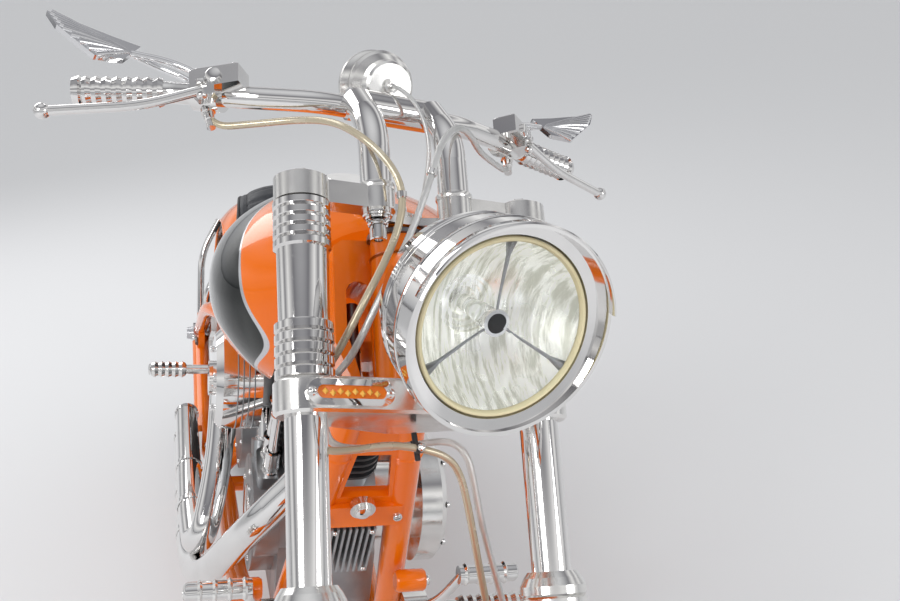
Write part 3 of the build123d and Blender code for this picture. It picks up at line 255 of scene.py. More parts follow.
def castFinish():
    style = {"tint": (0.42, 0.43, 0.44), "pit": (0.24, 0.24, 0.25), "grit": 420, "gritDepth": 0.0006,
             "stain": 14, "rough": 0.34, "stainRough": 0.2}
    board = newBoard("castAlloy")
    grit = board.noise(style["grit"], 4)
    stain = board.noise(style["stain"], 4).ramp(0.4, 0.75)
    return board.finish(Base_Color=board.blend(stain * 0.6, style["tint"], style["pit"]), Metallic=1.0,
                        Roughness=style["rough"] + stain * style["stainRough"],
                        Normal=board.bump(grit, 0.25, style["gritDepth"]))


def paintCoat(board, colour, metallic=0.0):
    style = {"flake": 2600, "flakeRough": 0.06, "rough": 0.24, "peel": 260, "peelBump": 0.02,
             "peelDepth": 0.0004, "gloss": 0.15, "coatBend": 1.38, "coatRough": 0.03}
    flake = board.noise(style["flake"], 1)
    peel = board.noise(style["peel"], 2)
    return board.finish(Base_Color=colour, Metallic=metallic,
                        Roughness=style["rough"] + flake * style["flakeRough"],
                        Specular_IOR_Level=style["gloss"], Coat_Weight=1.0, Coat_Roughness=style["coatRough"],
                        Coat_IOR=style["coatBend"],
                        Normal=board.bump(peel, style["peelBump"], style["peelDepth"]))


def orangeGround(board):
    style = {"orange": (0.90, 0.190, 0.003), "deep": (0.80, 0.130, 0.002), "shade": 6}
    shade = board.noise(style["shade"], 3).ramp(0.3, 0.7)
    return board.blend(shade * 0.5, style["orange"], style["deep"])


def orangeFinish():
    board = newBoard("orangePaint")
    return paintCoat(board, orangeGround(board))


def tankFinish():
    # a dark metallic blade with silver edges round each shoulder of the tank, and a thinner one behind
    style = {"dark": (0.006, 0.008, 0.008), "smoke": (0.045, 0.048, 0.046), "silver": (0.62, 0.63, 0.65),
             "metal": 0.85, "edge": 3.0, "soft": 0.6, "nose": 238, "noseRise": 727, "curve": 0.008,
             "noseWave": 5, "tail": 306, "tailReach": 160, "tailFrom": 690, "tailTo": 745, "tailWave": 14,
             "spear": 575, "spearHalf": 24, "spearLean": 0.3, "spearWave": 9}
    board = newBoard("tankPaint")
    _, y, z = board.axes(board.place(bike))
    rise = z - style["noseRise"]
    nose = rise * rise * style["curve"] + style["nose"] + (z * 0.06).sine() * style["noseWave"]
    tail = z.ramp(style["tailFrom"], style["tailTo"], style["tail"], style["tail"] + style["tailReach"])
    tail = tail + (z * 0.045).sine() * style["tailWave"]
    blade = (y - nose).lowest(tail - y)
    offSpear = (y - rise * style["spearLean"] - style["spear"]).size()
    spear = style["spearHalf"] - offSpear - (z * 0.03).sine() * style["spearWave"]
    shown = blade.highest(spear)
    inside = shown.ramp(-style["soft"], style["soft"])
    rim = shown.size().ramp(style["edge"], style["edge"] - 1.0)
    smoke = board.noise(9, 4, 0.6, None, (1, 1, 0.35)).ramp(0.35, 0.7)
    dark = board.blend(smoke, style["dark"], style["smoke"])
    colour = board.blend(rim, board.blend(inside, orangeGround(board), dark), style["silver"])
    return paintCoat(board, colour, inside.highest(rim) * style["metal"])


def plainFinish(name, tint, worn, roughness, metallic=0.0, grain=500, depth=0.0002):
    style = {"wear": 35, "wornShare": 0.6, "wearRough": 0.1, "grainBump": 0.2}
    board = newBoard(name)
    wear = board.noise(style["wear"], 4).ramp(0.45, 0.75)
    speck = board.noise(grain, 3)
    return board.finish(Base_Color=board.blend(wear * style["wornShare"], tint, worn), Metallic=metallic,
                        Roughness=roughness + wear * style["wearRough"],
                        Normal=board.bump(speck, style["grainBump"], depth))


def leatherFinish():
    style = {"tint": (0.022, 0.024, 0.030), "worn": (0.050, 0.052, 0.060), "grain": 420, "grainDepth": 0.0006,
             "rub": 12, "rough": 0.50, "rubbed": 0.12}
    board = newBoard("seatCover")
    grain = board.node("ShaderNodeTexVoronoi", {"feature": "DISTANCE_TO_EDGE"},
                       {"Vector": board.place(), "Scale": style["grain"]})
    rub = board.noise(style["rub"], 4).ramp(0.45, 0.8)
    return board.finish(Base_Color=board.blend(rub * 0.7, style["tint"], style["worn"]),
                        Roughness=style["rough"] - rub * style["rubbed"],
                        Normal=board.bump(grain.ramp(0.0, 0.12), 0.35, style["grainDepth"]))


def lensFinish(name, bend):
    style = {"tint": (0.97, 0.98, 0.99), "rough": 0.01, "ripple": 45, "rippleRough": 0.02}
    board = newBoard(name)
    ripple = board.noise(style["ripple"], 2)
    return board.finish(Base_Color=style["tint"], Transmission_Weight=1.0, IOR=bend,
                        Roughness=style["rough"] + ripple * style["rippleRough"])


def reflectorWithPaintedLight():
    # the lamp bowl's pressed flutes, as fine streaks that run down behind the lens; the streaks' bright and
    # shaded colours are a painted reflection and painted shade, and the bowl has a painted glow though no
    # lamp lights it
    style = {"bright": (0.98, 0.98, 0.94), "shade": (0.62, 0.62, 0.55), "paintedGlow": 0.20, "metal": 0.8,
             "size": 60, "fluteAndPaintedShade": (0.0036, 0.0003, 0.0006), "patch": (0.0006, 0.0003, 0.0006), "rough": 0.20,
             "patchRough": 0.22, "fluteBump": 0.45, "fluteDepth": 0.0016}
    board = newBoard("lampBowl")
    fluteAndPaintedShade = board.noise(style["size"], 4, 0.6, board.place(lamp), style["fluteAndPaintedShade"])
    patch = board.noise(style["size"], 2, 0.5, board.place(lamp), style["patch"]).ramp(0.35, 0.65)
    # painted reflection and painted shade: bright and shaded streaks put into the bowl's colour
    colour = board.blend(fluteAndPaintedShade.ramp(0.40, 0.64), style["bright"], style["shade"])
    # painted glow: the bowl gives off light of its own colour though the lamp is not lit
    return board.finish(Base_Color=colour, Metallic=style["metal"], Emission_Color=colour,
                        Emission_Strength=style["paintedGlow"],
                        Roughness=style["rough"] + patch * style["patchRough"],
                        Normal=board.bump(fluteAndPaintedShade, style["fluteBump"], style["fluteDepth"]))


# plain finishes: name, tint, worn tint, roughness, metallic, grain size, grain depth
materials = {
    "orange_paint": orangeFinish(),
    "tank_paint": tankFinish(),
    "chrome": chromeFinish("chrome", (0.80, 0.79, 0.78), (0.65, 0.64, 0.63), 0.045),
    "mirror_back": chromeFinish("mirrorBack", (0.80, 0.80, 0.81), (0.66, 0.66, 0.68), 0.09),
    "polished_alloy": alloyFinish("polishedAlloy", (0.85, 0.84, 0.82), (0.69, 0.68, 0.66), 0.13),
    "cast_alloy": castFinish(),
    "barrel_black": plainFinish("barrelBlack", (0.030, 0.030, 0.033), (0.08, 0.08, 0.08), 0.42),
    "dark_steel": plainFinish("darkSteel", (0.20, 0.20, 0.21), (0.11, 0.10, 0.10), 0.35, 1.0),
    "bright_steel": plainFinish("brightSteel", (0.62, 0.62, 0.64), (0.45, 0.45, 0.46), 0.24, 1.0),
    "tyre_rubber": plainFinish("tyreRubber", (0.020, 0.020, 0.021), (0.042, 0.040, 0.038), 0.72, 0.0, 700,
                               0.0004),
    "seat_cover": leatherFinish(),
    "lens_glass": lensFinish("clearLens", 1.10),
    "amber_plastic": plainFinish("amberPlastic", (0.90, 0.20, 0.004), (0.75, 0.13, 0.004), 0.16),
    "red_plastic": plainFinish("redPlastic", (0.50, 0.012, 0.010), (0.40, 0.01, 0.01), 0.20),
    "belt_rubber": plainFinish("beltRubber", (0.03, 0.03, 0.03), (0.06, 0.06, 0.055), 0.66),
    "hose_sleeve": plainFinish("hoseSleeve", (0.56, 0.49, 0.36), (0.70, 0.65, 0.54), 0.24, 0.45),
    "grey_metal": plainFinish("greyMetal", (0.40, 0.41, 0.42), (0.30, 0.30, 0.31), 0.40, 0.6, 300, 0.0005),
    "silver_braid": plainFinish("silverBraid", (0.74, 0.74, 0.73), (0.58, 0.58, 0.57), 0.36, 1.0),
    "gasket": plainFinish("lampGasket", (0.76, 0.69, 0.44), (0.64, 0.57, 0.34), 0.50),
    # the lamp bowl's colour holds a painted reflection, painted shade and a painted glow
    "lamp_bowl": reflectorWithPaintedLight(),
    "black_rubber": plainFinish("blackRubber", (0.015, 0.015, 0.016), (0.035, 0.035, 0.035), 0.55),
    "dial_face": plainFinish("dialFace", (0.78, 0.77, 0.73), (0.70, 0.69, 0.64), 0.40),
    "bulb_glass": lensFinish("bulbGlass", 1.3),
    "amber_facet": plainFinish("amberFacet", (1.0, 0.60, 0.12), (1.0, 0.42, 0.04), 0.12),
}
# the record's slot for each finish that only this script has
slotOf = {part["node"]: part["material_slot"] for part in frame["record"]["subparts"]}
for name, node in nodes.items():
    node.data.materials.clear()
    node.data.materials.append(materials[slotOf[name]])
print("finishes ready:", len(materials))


def softened(part, edge, segments=2):
    bmesh.ops.bevel(part, geom=part.edges[:], offset=edge, offset_type="OFFSET", affect="EDGES",
                    segments=segments, profile=0.5, material=-1)
    return part


def lathe(profile, steps=32, arc=360.0):
    # turns a (radius, height) profile about the Z axis
    part = bmesh.new()
    points = [part.verts.new((radius, 0, height)) for radius, height in profile]
    edges = [part.edges.new(pair) for pair in zip(points, points[1:])]
    bmesh.ops.spin(part, geom=points + edges, cent=(0, 0, 0), axis=(0, 0, 1), dvec=(0, 0, 0),
                   angle=math.radians(arc), steps=steps, use_merge=arc > 359, use_duplicate=False)
    bmesh.ops.remove_doubles(part, verts=part.verts, dist=0.001)
    return part


def block(low, high, edge=1.5, segments=2):
    part = bmesh.new()
    low, high = Vector(low), Vector(high)
    middle = Matrix.Translation((low + high) / 2) @ Matrix.Diagonal((*(high - low), 1))
    bmesh.ops.create_cube(part, size=1, matrix=middle)
    return softened(part, edge, segments)


def plate(outline, thick, edge):
    # a flat outline in XY, given its thickness upwards
    part = bmesh.new()
    face = part.faces.new([part.verts.new((x, y, 0)) for x, y in outline])
    raised = bmesh.ops.extrude_face_region(part, geom=[face])["geom"]
    tops = [item for item in raised if isinstance(item, bmesh.types.BMVert)]
    bmesh.ops.translate(part, verts=tops, vec=(0, 0, thick))
    return softened(part, edge)


def hexHead(radius, height):
    part = bmesh.new()
    bmesh.ops.create_cone(part, cap_ends=True, segments=6, radius1=radius, radius2=radius, depth=height,
                          matrix=shifted(0, 0, height / 2))
    return softened(part, 0.8)


def screwHead(radius, height, shape, steps):
    # a turned head, its shape given in shares of its radius and height
    return lathe([(radius, -0.4)] + [(radius * out, height * up) for out, up in shape], steps)


def capScrew(radius, height):
    # a round socket head with its recess
    return screwHead(radius, height, [(1, 0.86), (0.92, 1), (0.55, 1), (0.506, 0.35), (0, 0.3)], 20)


def domeScrew(radius, height):
    return screwHead(radius, height, [(1, 0.3), (0.82, 0.75), (0.45, 1), (0.38, 0.6), (0, 0.55)], 18)


def routePoints(route, steps):
    # the points of a smooth curve that a route's own points control
    curve = bpy.data.curves.new("route", "CURVE")
    curve.dimensions = "3D"
    curve.resolution_u = steps
    spline = curve.splines.new("NURBS")
    spline.points.add(len(route) - 1)
    for point, spot in zip(spline.points, route):
        point.co = (*spot, 1)
    spline.order_u = 3
    spline.use_endpoint_u = True
    holder = bpy.data.objects.new("route", curve)
    line = bpy.data.meshes.new_from_object(holder)
    path = [vertex.co.copy() for vertex in line.vertices]
    bpy.data.objects.remove(holder)
    bpy.data.curves.remove(curve)
    bpy.data.meshes.remove(line)
    return path


def carried(path):
    # a frame at each point of a path, its Z axis along the path, turned as little as can be
    across = Vector((0.31, 0.52, 0.79))
    for before, spot, after in zip([path[0]] + path[:-1], path, path[1:] + [path[-1]]):
        along = (after - before).normalized()
        across = (across - along * across.dot(along)).normalized()
        turn = Matrix((across, along.cross(across), along)).transposed()
        yield Matrix.Translation(spot) @ turn.to_4x4()


def rod(path, radius, sides=10):
    # a round bar, its end pushed from point to point of a path; radius is one number or one for each point
    path = [Vector(spot) for spot in path]
    radii = radius if isinstance(radius, list) else [radius] * len(path)
    part = bmesh.new()
    bmesh.ops.create_circle(part, cap_ends=True, segments=sides, radius=1, matrix=spun(-90, "Z"))
    end, = part.faces
    before = Matrix.Identity(4)
    for number, (place, size) in enumerate(zip(carried(path), radii)):
        if number:
            raised = bmesh.ops.extrude_face_region(part, geom=[end, *end.edges])["geom"]
            end, = [item for item in raised if isinstance(item, bmesh.types.BMFace)]
        now = place @ Matrix.Scale(size, 4)
        bmesh.ops.transform(part, matrix=now @ before.inverted(), verts=end.verts[:])
        before = now
    return part


def coil(radius, wire, turns, length):
    style = {"steps": 18, "sides": 7}
    last = turns * style["steps"]
    spots = around(radius, [step * 360 / style["steps"] for step in range(last + 1)])
    return rod([(x, y, length * step / last) for step, (x, y) in enumerate(spots)], wire, style["sides"])


def bridged(outlines):
    # a skin over a row of closed outlines
    part = bmesh.new()
    loops = []
    for outline in outlines:
        spots = [part.verts.new(spot) for spot in outline]
        loops.append([part.edges.new(pair) for pair in zip(spots, spots[1:] + spots[:1])])
    for loop, following in zip(loops, loops[1:]):
        bmesh.ops.bridge_loops(part, edges=loop + following)
    return part


def moved(profile, radius, height):
    return [(radius + out, height + up) for out, up in profile]


def around(radius, turns):
    # spots on a circle, for turns in degrees
    return [(radius * math.cos(math.radians(turn)), radius * math.sin(math.radians(turn))) for turn in turns]


def corners(x, y):
    return [(-x, -y), (x, -y), (-x, y), (x, y)]


def outward(x, y, z):
    # a frame on one side of the machine, its Z axis away from the middle
    return facing(bike, (x, y, z), (math.copysign(1, x), 0, 0))


def upright(middle, radius, turns):
    # spots round a circle that faces the machine's side
    x, y, z = middle
    return [(x, y + along, z + up) for along, up in around(radius, turns)]


def fitted(rows, frame, side=1):
    # small parts from rows of maker, size, direction and spots; a side of -1 mirrors them
    mirrored = Vector((side, 1, 1))
    return [(make(*size), facing(frame, Vector(spot) * mirrored, Vector(way) * mirrored))
            for make, size, way, spots in rows for spot in spots]


def piece(name, finish, body, parts, sharp=38):
    # one finished object from several parts, each with its place, in the shared frame
    mesh = bmesh.new()
    for part, place in parts:
        bmesh.ops.recalc_face_normals(part, faces=part.faces)
        part.transform(place)
        spare = bpy.data.meshes.new("spare")
        part.to_mesh(spare)
        part.free()
        mesh.from_mesh(spare)
        bpy.data.meshes.remove(spare)
    data = bpy.data.meshes.new(name)
    mesh.to_mesh(data)
    mesh.free()
    data.materials.append(materials[finish])
    data.polygons.foreach_set("use_smooth", [True] * len(data.polygons))
    data.set_sharp_from_angle(angle=math.radians(sharp))
    made = bpy.data.objects.new(name, data)
    bpy.context.scene.collection.objects.link(made)
    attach(made, body)
    return made


def lampInside():
    style = {
        "bowl": [(82, -10), (78, -20), (70, -38), (58, -56), (43, -70), (28, -78), (27, -81), (24, -81),
                 (23, -84), (19, -84), (18, -88), (14, -88), (14, -97), (0, -97)],
        "gasket": [(78.0, -6.5), (78.6, -3.2), (79.8, -1.6), (81.8, -1.2), (83.0, -2.4), (83.2, -9.5)],
        "bulb": [(0, -30), (6, -31.5), (10, -36), (11, -44), (9, -60), (8, -84)],
        "armPath": [(0, 8, -22), (0, 30, -20), (0, 64, -14), (0, 79, -11)], "armSizes": [1.2, 1.3, 2.0, 5.6],
        "armTurns": (5, -115, -235),
        "cap": [(0, -29), (11, -28), (13, -22), (12.6, -19), (9.4, -18.4)],
        "capFace": [(9.8, -20), (9.6, -18.5), (0, -18.1)]}
    piece("lampBowl", "lamp_bowl", "steering", [(lathe(style["bowl"], 72), lamp)], 30)
    piece("lampGasket", "gasket", "steering", [(lathe(style["gasket"], 72), lamp)])
    piece("lampBulb", "bulb_glass", "steering", [(lathe(style["bulb"], 28), lamp)])
    arms = [(rod(style["armPath"], style["armSizes"], 8), lamp @ spun(turn, "Z"))
            for turn in style["armTurns"]]
    piece("lampShieldArms", "grey_metal", "steering", arms)
    piece("lampShieldCap", "chrome", "steering", [(lathe(style["cap"]), lamp)])
    piece("lampShieldFace", "black_rubber", "steering", [(lathe(style["capFace"]), lamp)])


def lampOutside():
    style = {
        "band": [(95.4, -16.5), (98.0, -17.4), (99.8, -15), (100.0, -12.5), (99.2, -11.6)],
        "bead": [(0, 0), (1.0, 1.2), (0.2, 2.6)], "beads": [(93.6, -52), (92.9, -58)],
        "joint": [(98.4, -18.6), (98.5, -17.3), (96.4, -17.3)],
        "lip": [(99.3, 8), (100.6, 10), (100.6, 20.5), (99.3, 22), (98.2, 21.4), (97.6, 12)],
        "lipArc": 150, "lipTurn": 15, "bolts": [(hexHead, (7, 5), (1, 0, 0), [(17.6, -97, 20)])]}
    profiles = [style["band"]] + [moved(style["bead"], *spot) for spot in style["beads"]]
    piece("lampBeads", "chrome", "steering", [(lathe(profile, 72), lamp) for profile in profiles])
    piece("lampRingJoint", "dark_steel", "steering", [(lathe(style["joint"], 72), lamp)])
    lip = lathe(style["lip"], 60, style["lipArc"])
    piece("visorLip", "chrome", "steering", [(lip, lamp @ spun(style["lipTurn"], "Z"))])
    bolts = [bolt for side in sides for bolt in fitted(style["bolts"], fork, side)]
    piece("lampStayBolts", "chrome", "steering", bolts)


def gaugeDetails():
    style = {
        "ring": [(0, 0), (0.7, 0.9), (0, 1.8)], "ringRadius": 41.2, "rings": range(32, 53, 3),
        "bezel": [(37.2, 57.5), (37.6, 63), (40, 64.4), (42.6, 63.4), (43.2, 60), (43.0, 56.4), (41.2, 55.6)],
        "nut": [(0, -6.5), (5.2, -6.3), (5.4, -4.8), (8.4, -4.4), (8.6, 0.4)], "dial": 36.8, "face": 58.4,
        "ticks": 40, "sweep": 280, "tickEnd": 33, "longTick": 7.0, "shortTick": 3.6, "halfTick": 0.45,
        "needle": [(-1.0, -6, 0.8), (1.0, 27, 1.4)], "needleTurn": 118,
        "knob": [(4.4, 0), (4.2, 2), (0, 2.4)]}
    face = gauge @ shifted(0, 0, style["face"])
    rings = [(lathe(moved(style["ring"], style["ringRadius"], height), 64), gauge)
             for height in style["rings"]]
    rings += [(lathe(style["bezel"], 64), gauge), (lathe(style["nut"], 24), gauge)]
    piece("gaugeRings", "polished_alloy", "steering", rings)
    piece("gaugeDial", "dial_face", "steering", [(lathe([(style["dial"], 0), (0, 0)], 48), face)])
    marks = []
    half, end = style["halfTick"], style["tickEnd"]
    for tick in range(style["ticks"] + 1):
        start = end - (style["shortTick"] if tick % 5 else style["longTick"])
        turn = style["sweep"] * (tick / style["ticks"] - 0.5) + 180
        marks.append((block((-half, start, 0.1), (half, end, 0.5), 0.1, 1), face @ spun(turn, "Z")))
    marks.append((block(*style["needle"], 0.3, 1), face @ spun(style["needleTurn"], "Z")))
    marks.append((lathe(style["knob"], 20), face))
    piece("gaugeMarks", "black_rubber", "steering", marks)


def treeDetails():
    style = {
        "legCap": [(21.5, 242.6), (21.5, 245.5), (20, 247), (9, 247.6), (0, 247.6)],
        "legBolt": (10, 6), "legBoltHeight": 247,
        "ring": [(-1, -1.4), (0, 0), (-1, 1.4)], "rings": [(16.2, 213.4), (13.4, 210.6), (11.4, 204)],
        "riserBolt": [(0, 190), (4.6, 190), (4.8, 186.8), (8.2, 186.8), (9.2, 188), (9.2, 198)],
        "riserCollar": [(19.2, 241), (20.4, 243.4), (20.0, 247.5), (17.2, 249)],
        "stemCollar": [(17, 236), (19, 237), (19, 240), (16, 241.4)],
        "pinchScrews": [(capScrew, (4.6, 4), (-0.35, 0.93, 0), [(112, -25.6, 7.5), (112, -25.6, 27)]),
                        (capScrew, (4.0, 3.4), (-0.35, 0.93, 0), [(118, -30.4, 224), (118, -30.4, 236)])],
        "slot": [(-0.9, -4, 1), (0.9, 4, 33.5)], "slotDepth": -25.4}
    chromeParts, alloyParts, slots = [], [], []
    for side in sides:
        leg = fork @ shifted(side * stance["legX"], -stance["forkOffset"], 0)
        riser = fork @ shifted(side * stance["riserX"], -stance["forkOffset"], 0)
        alloyParts += [(lathe(style["legCap"], 36), leg), (lathe(style["riserCollar"], 36), riser)]
        chromeParts.append((hexHead(*style["legBolt"]), leg @ shifted(0, 0, style["legBoltHeight"])))
        chromeParts += [(lathe(moved(style["ring"], *spot)), riser) for spot in style["rings"]]
        chromeParts.append((lathe(style["riserBolt"], 28), riser))
        chromeParts += fitted(style["pinchScrews"], fork, side)
        # painted shade: a thin black block fills each clamp's pinch slot, standing in for the dark gap there
        slots.append((block(*style["slot"], 0.3, 1),
                      fork @ shifted(side * stance["legX"], style["slotDepth"], 0)))
    chromeParts.append((lathe(style["stemCollar"]), fork))
    piece("treeScrews", "chrome", "steering", chromeParts)
    piece("treeCaps", "polished_alloy", "steering", alloyParts)
    # these black blocks are painted shade in the clamp slots, not parts of their own
    piece("treeSlotShade", "black_rubber", "steering", slots)


def markerDetails():
    style = {
        "place": (96, -92.2, 17.25),
        # the bezel's outlines: half length, radius of the ends, height
        "levels": [(31, 12.6, -6), (31, 12.6, 1.6), (27.9, 6.4, 2.6), (27.9, 6.4, -1)],
        "rightEnd": range(-75, 91, 15), "leftEnd": range(105, 271, 15),
        "screws": [(domeScrew, (4.6, 2.6), (0, 0, 1), [(-38.6, 0, 1.8), (38.6, 0, 1.8)])],
        "light": [(3.4, 0), (1.6, 1.4), (0, 1.9)], "lights": 8, "spacing": 7.4, "stagger": 0.8,
        "lightHeight": 0.2}
    bezels, lights = [], []
    x, y, z = style["place"]
    for side in sides:
        place = facing(fork, (side * x, y, z), (0, -1, 0))
        outlines = []
        for half, radius, height in style["levels"]:
            ends = [(half, spot) for spot in around(radius, style["rightEnd"])]
            ends += [(-half, spot) for spot in around(radius, style["leftEnd"])]
            outlines.append([(shift + along, up, height) for shift, (along, up) in ends])
        bezels.append((bridged(outlines), place))
        bezels += fitted(style["screws"], place)
        for light in range(style["lights"]):
            shift = (light - (style["lights"] - 1) / 2) * style["spacing"]
            spot = place @ shifted(shift, (-1) ** light * style["stagger"], style["lightHeight"])
            lights.append((lathe(style["light"], 4), spot))
    piece("markerBezels", "chrome", "steering", bezels)
    piece("markerLights", "amber_facet", "steering", lights, 10)


def mirrorDetails():
    style = {
        # the glass's outline from its root round its fan, for the left side
        "outline": [(265, 100, 459), (296, 102, 463), (368, 103, 478), (358, 99, 458), (318, 90, 424),
                    (286, 91, 430)],
        "middle": (310, 98, 452), "normal": (-0.11, -0.93, 0.35), "rootShare": 0.45, "flutes": 9, "fan": 0.8,
        # a flute's points: share of its run, lift off the mirror's back; and its sizes there
        "run": [(0.10, 3.2), (0.55, 3.9), (0.95, 2.6)], "sizes": [1.2, 2.6, 4.42],
        "inset": 0.10, "sunk": 4.3, "thick": 0.9, "edge": 0.3}
    flutes, glasses = [], []
    for side in sides:
        mirrored = Vector((side, 1, 1))
        away = Vector(style["normal"]).normalized() * mirrored
        middle = Vector(style["middle"]) * mirrored
        spots = [Vector(spot) * mirrored for spot in style["outline"]]
        spots = [spot - away * (spot - middle).dot(away) for spot in spots]
        root = spots[0].lerp(spots[5], style["rootShare"])
        bulge = (spots[3] - spots[2].lerp(spots[4], 0.5)) * style["fan"]
        for flute in range(style["flutes"]):
            share = flute / (style["flutes"] - 1)
            tip = spots[2].lerp(spots[4], share) + bulge * (1 - abs(2 * share - 1))
            path = [root.lerp(tip, reach) + away * lift for reach, lift in style["run"]]
            flutes.append((rod(path, style["sizes"]), fork))
        turn = away.to_track_quat("Z", "Y")
        outline = [turn.inverted() @ (spot.lerp(middle, style["inset"]) - middle) for spot in spots]
        back = Matrix.Translation(middle - away * style["sunk"]) @ turn.to_matrix().to_4x4()
        glass = plate([(spot.x, spot.y) for spot in outline], style["thick"], style["edge"])
        glasses.append((glass, fork @ back))
    piece("mirrorFlutes", "mirror_back", "steering", flutes)
    piece("mirrorGlass", "chrome", "steering", glasses)


def controlDetails():
    style = {
        "lid": (190, 38, 393), "lidTurn": 38, "lidBlock": [(-27, -13.5, 10.8), (27, 13.5, 13.6)],
        "lidEdge": 1.2, "onLid": [
            (domeScrew, (3.0, 2.2), (0, 0, 1), [(x, y, 13.4) for x, y in corners(22, 9)]),
            (lathe, ([(9, 0), (9, 3), (7.4, 4), (0, 4)], 24), (0, -1, 0), [(0, -14.8, 0)])],
        "underneath": [
            (hexHead, (7, 6), (0, 0, 1), [(210, 34, 383)]),
            (domeScrew, (5.6, 4), (0, 0, -1), [(210, 34, 371)]),
            (lathe, ([(8.4, 0), (8.4, 5), (6.2, 6), (6.2, 15), (5.0, 16), (5.0, 26), (0, 26)], 18),
             (-0.125, -0.2, -0.97), [(196, 67, 372.5)])],
        "switches": [(lathe, ([(2.8, 0), (2.8, 2.2), (0, 2.8)], 14), (0.2, 0.9, -0.3),
                      [(188.1, 80.3, 386), (193, 84.5, 386), (197.9, 88.7, 386)])]}
    bright, dark = [], []
    x, y, z = style["lid"]
    for side in sides:
        lid = fork @ shifted(side * x, y, z) @ spun(side * style["lidTurn"], "Z")
        bright.append((block(*style["lidBlock"], style["lidEdge"]), lid))
        bright += fitted(style["onLid"], lid) + fitted(style["underneath"], fork, side)
        dark += fitted(style["switches"], fork, side)
    piece("controlScrews", "chrome", "steering", bright)
    piece("controlSwitches", "black_rubber", "steering", dark)


def treadTyre(name, hub, size, grooves, body, node):
    # a tyre's section spun about its hub, its tread pressed in slanting grooves and two round the crown
    style = {"across": 40, "footReach": 8, "footOut": 1, "bulge": 2.4, "wallShares": (0.25, 0.5, 0.75),
             "grooveEnd": 0.93, "ringHalf": 0.03}
    edge, shoulder, steps, across = size["edge"], size["shoulder"], size["steps"], style["across"]
    foot = size["rim"] + style["footReach"]
    wall = [(size["rim"], -size["bead"]), (foot, -edge - style["footOut"])]
    for share in style["wallShares"]:
        wall.append((foot + (shoulder - foot) * share, -edge - style["bulge"] * math.sin(math.pi * share)))
    rise = size["outer"] - shoulder
    arch = (edge ** 2 + rise ** 2) / (2 * rise)
    sweep = math.degrees(math.asin(edge / arch))
    turns = [sweep * (2 * step / across - 1) for step in range(across + 1)]
    section = wall + moved(around(arch, turns), size["outer"] - arch, 0)
    section += [(radius, -height) for radius, height in reversed(wall)]
    part = lathe(section + section[:1], steps)
    for vert in part.verts:
        radius = vert.co.xy.length
        if radius < shoulder - 1:
            continue
        step = round(math.atan2(vert.co.y, vert.co.x) / (2 * math.pi) * steps) % steps
        turn = math.degrees(math.asin(vert.co.z / arch))
        share = 2 * round((turn / sweep + 1) * across / 2) / across - 1
        phase = step / steps * grooves["count"] + abs(share) * grooves["slant"]
        phase = (phase + (0.5 if share > 0 else 0)) % 1
        slanted = phase < grooves["width"] and grooves["from"] < abs(share) < style["grooveEnd"]
        if share and (slanted or abs(abs(share) - grooves["ring"]) < style["ringHalf"]):
            vert.co.xy *= 1 - grooves["depth"] / radius
    made = piece(name, "tyre_rubber", body, [(part, hub)], 40)
    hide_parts(node)


def tyres():
    front = {"rim": 262, "bead": 47.2, "edge": 57, "shoulder": 287.2, "outer": 331, "steps": 640}
    frontGrooves = {"count": 32, "slant": 0.9, "width": 0.16, "from": 0.16, "ring": 0.06, "depth": 4.5}
    rear = {"rim": 225, "bead": 80, "edge": 98, "shoulder": 281.6, "outer": 318, "steps": 640}
    rearGrooves = {"count": 30, "slant": 1.1, "width": 0.15, "from": 0.14, "ring": 0.07, "depth": 5}
    treadTyre("frontTread", frontHub, front, frontGrooves, "front_wheel_set", "front_tyre")
    treadTyre("rearTread", rearHub, rear, rearGrooves, "rear_wheel_set", "rear_tyre")


hoseRoutes = {
    "brake": [(-196, 67, 370.4), (-193, 62, 348), (-152, 34, 346), (-110, 4, 344), (-88, -34, 328),
              (-76, -72, 300), (-54, -86, 274), (-36, -90, 247), (-31, -90, 220), (-37, -85, 187),
              (-51, -76, 152), (-69, -64, 115), (-83, -48, 82), (-91, -26, 61), (-99, -5, 50), (-103, 7, 34),
              (-103, 7, 2), (-94, 4, -24), (-60, -10, -24), (-30, -20, -20), (2, -24, -24), (36, -22, -32),
              (54, -14, -50), (66, -2, -80), (76, 8, -112), (87, 20, -147), (97, 28, -184), (101, 36, -250),
              (98, 44, -311), (93, 50, -343), (93, 27.5, -380.4)],
    "second": [(196, 67, 370.4), (193, 62, 348), (158, 36, 344), (118, 4, 340), (84, -40, 334),
               (46, -80, 324), (18, -92, 296), (4, -96, 262), (-9, -98, 228), (-24, -93, 188),
               (-41, -85, 150), (-58, -75, 114), (-69, -60, 84), (-74, -34, 64), (-79, -8, 54), (-86, 13, 36),
               (-86, 15, 2), (-76, 15, -18), (-36, 8, -20), (8, 2, -17), (46, -10, -13), (62, -18, -30),
               (73, -8, -64), (83, 2, -98), (99, 14, -140), (114, 22, -184), (120, 14, -240), (128, -6, -286),
               (129, -28.2, -300)],
    "lead": [(0, -5, 402), (0, -27, 390), (14, -46, 360), (26, -48, 316), (24, -34, 268), (16, -24, 227)],
}


def strands(path, size):
    # fine wires laid in helixes both ways round a path
    length = 0.0
    lines = {(hand, number): [] for hand in sides for number in range(size["strands"])}
    for before, spot, place in zip([path[0]] + path[:-1], path, carried(path)):
        length += (spot - before).length
        for (hand, number), line in lines.items():
            turn = 360 * (hand * length / size["pitch"] + number / size["strands"])
            (x, y), = around(size["radius"], [turn])
            line.append(place @ Vector((x, y, 0)))
    return [(rod(line, size["wire"], 4), fork) for line in lines.values()]


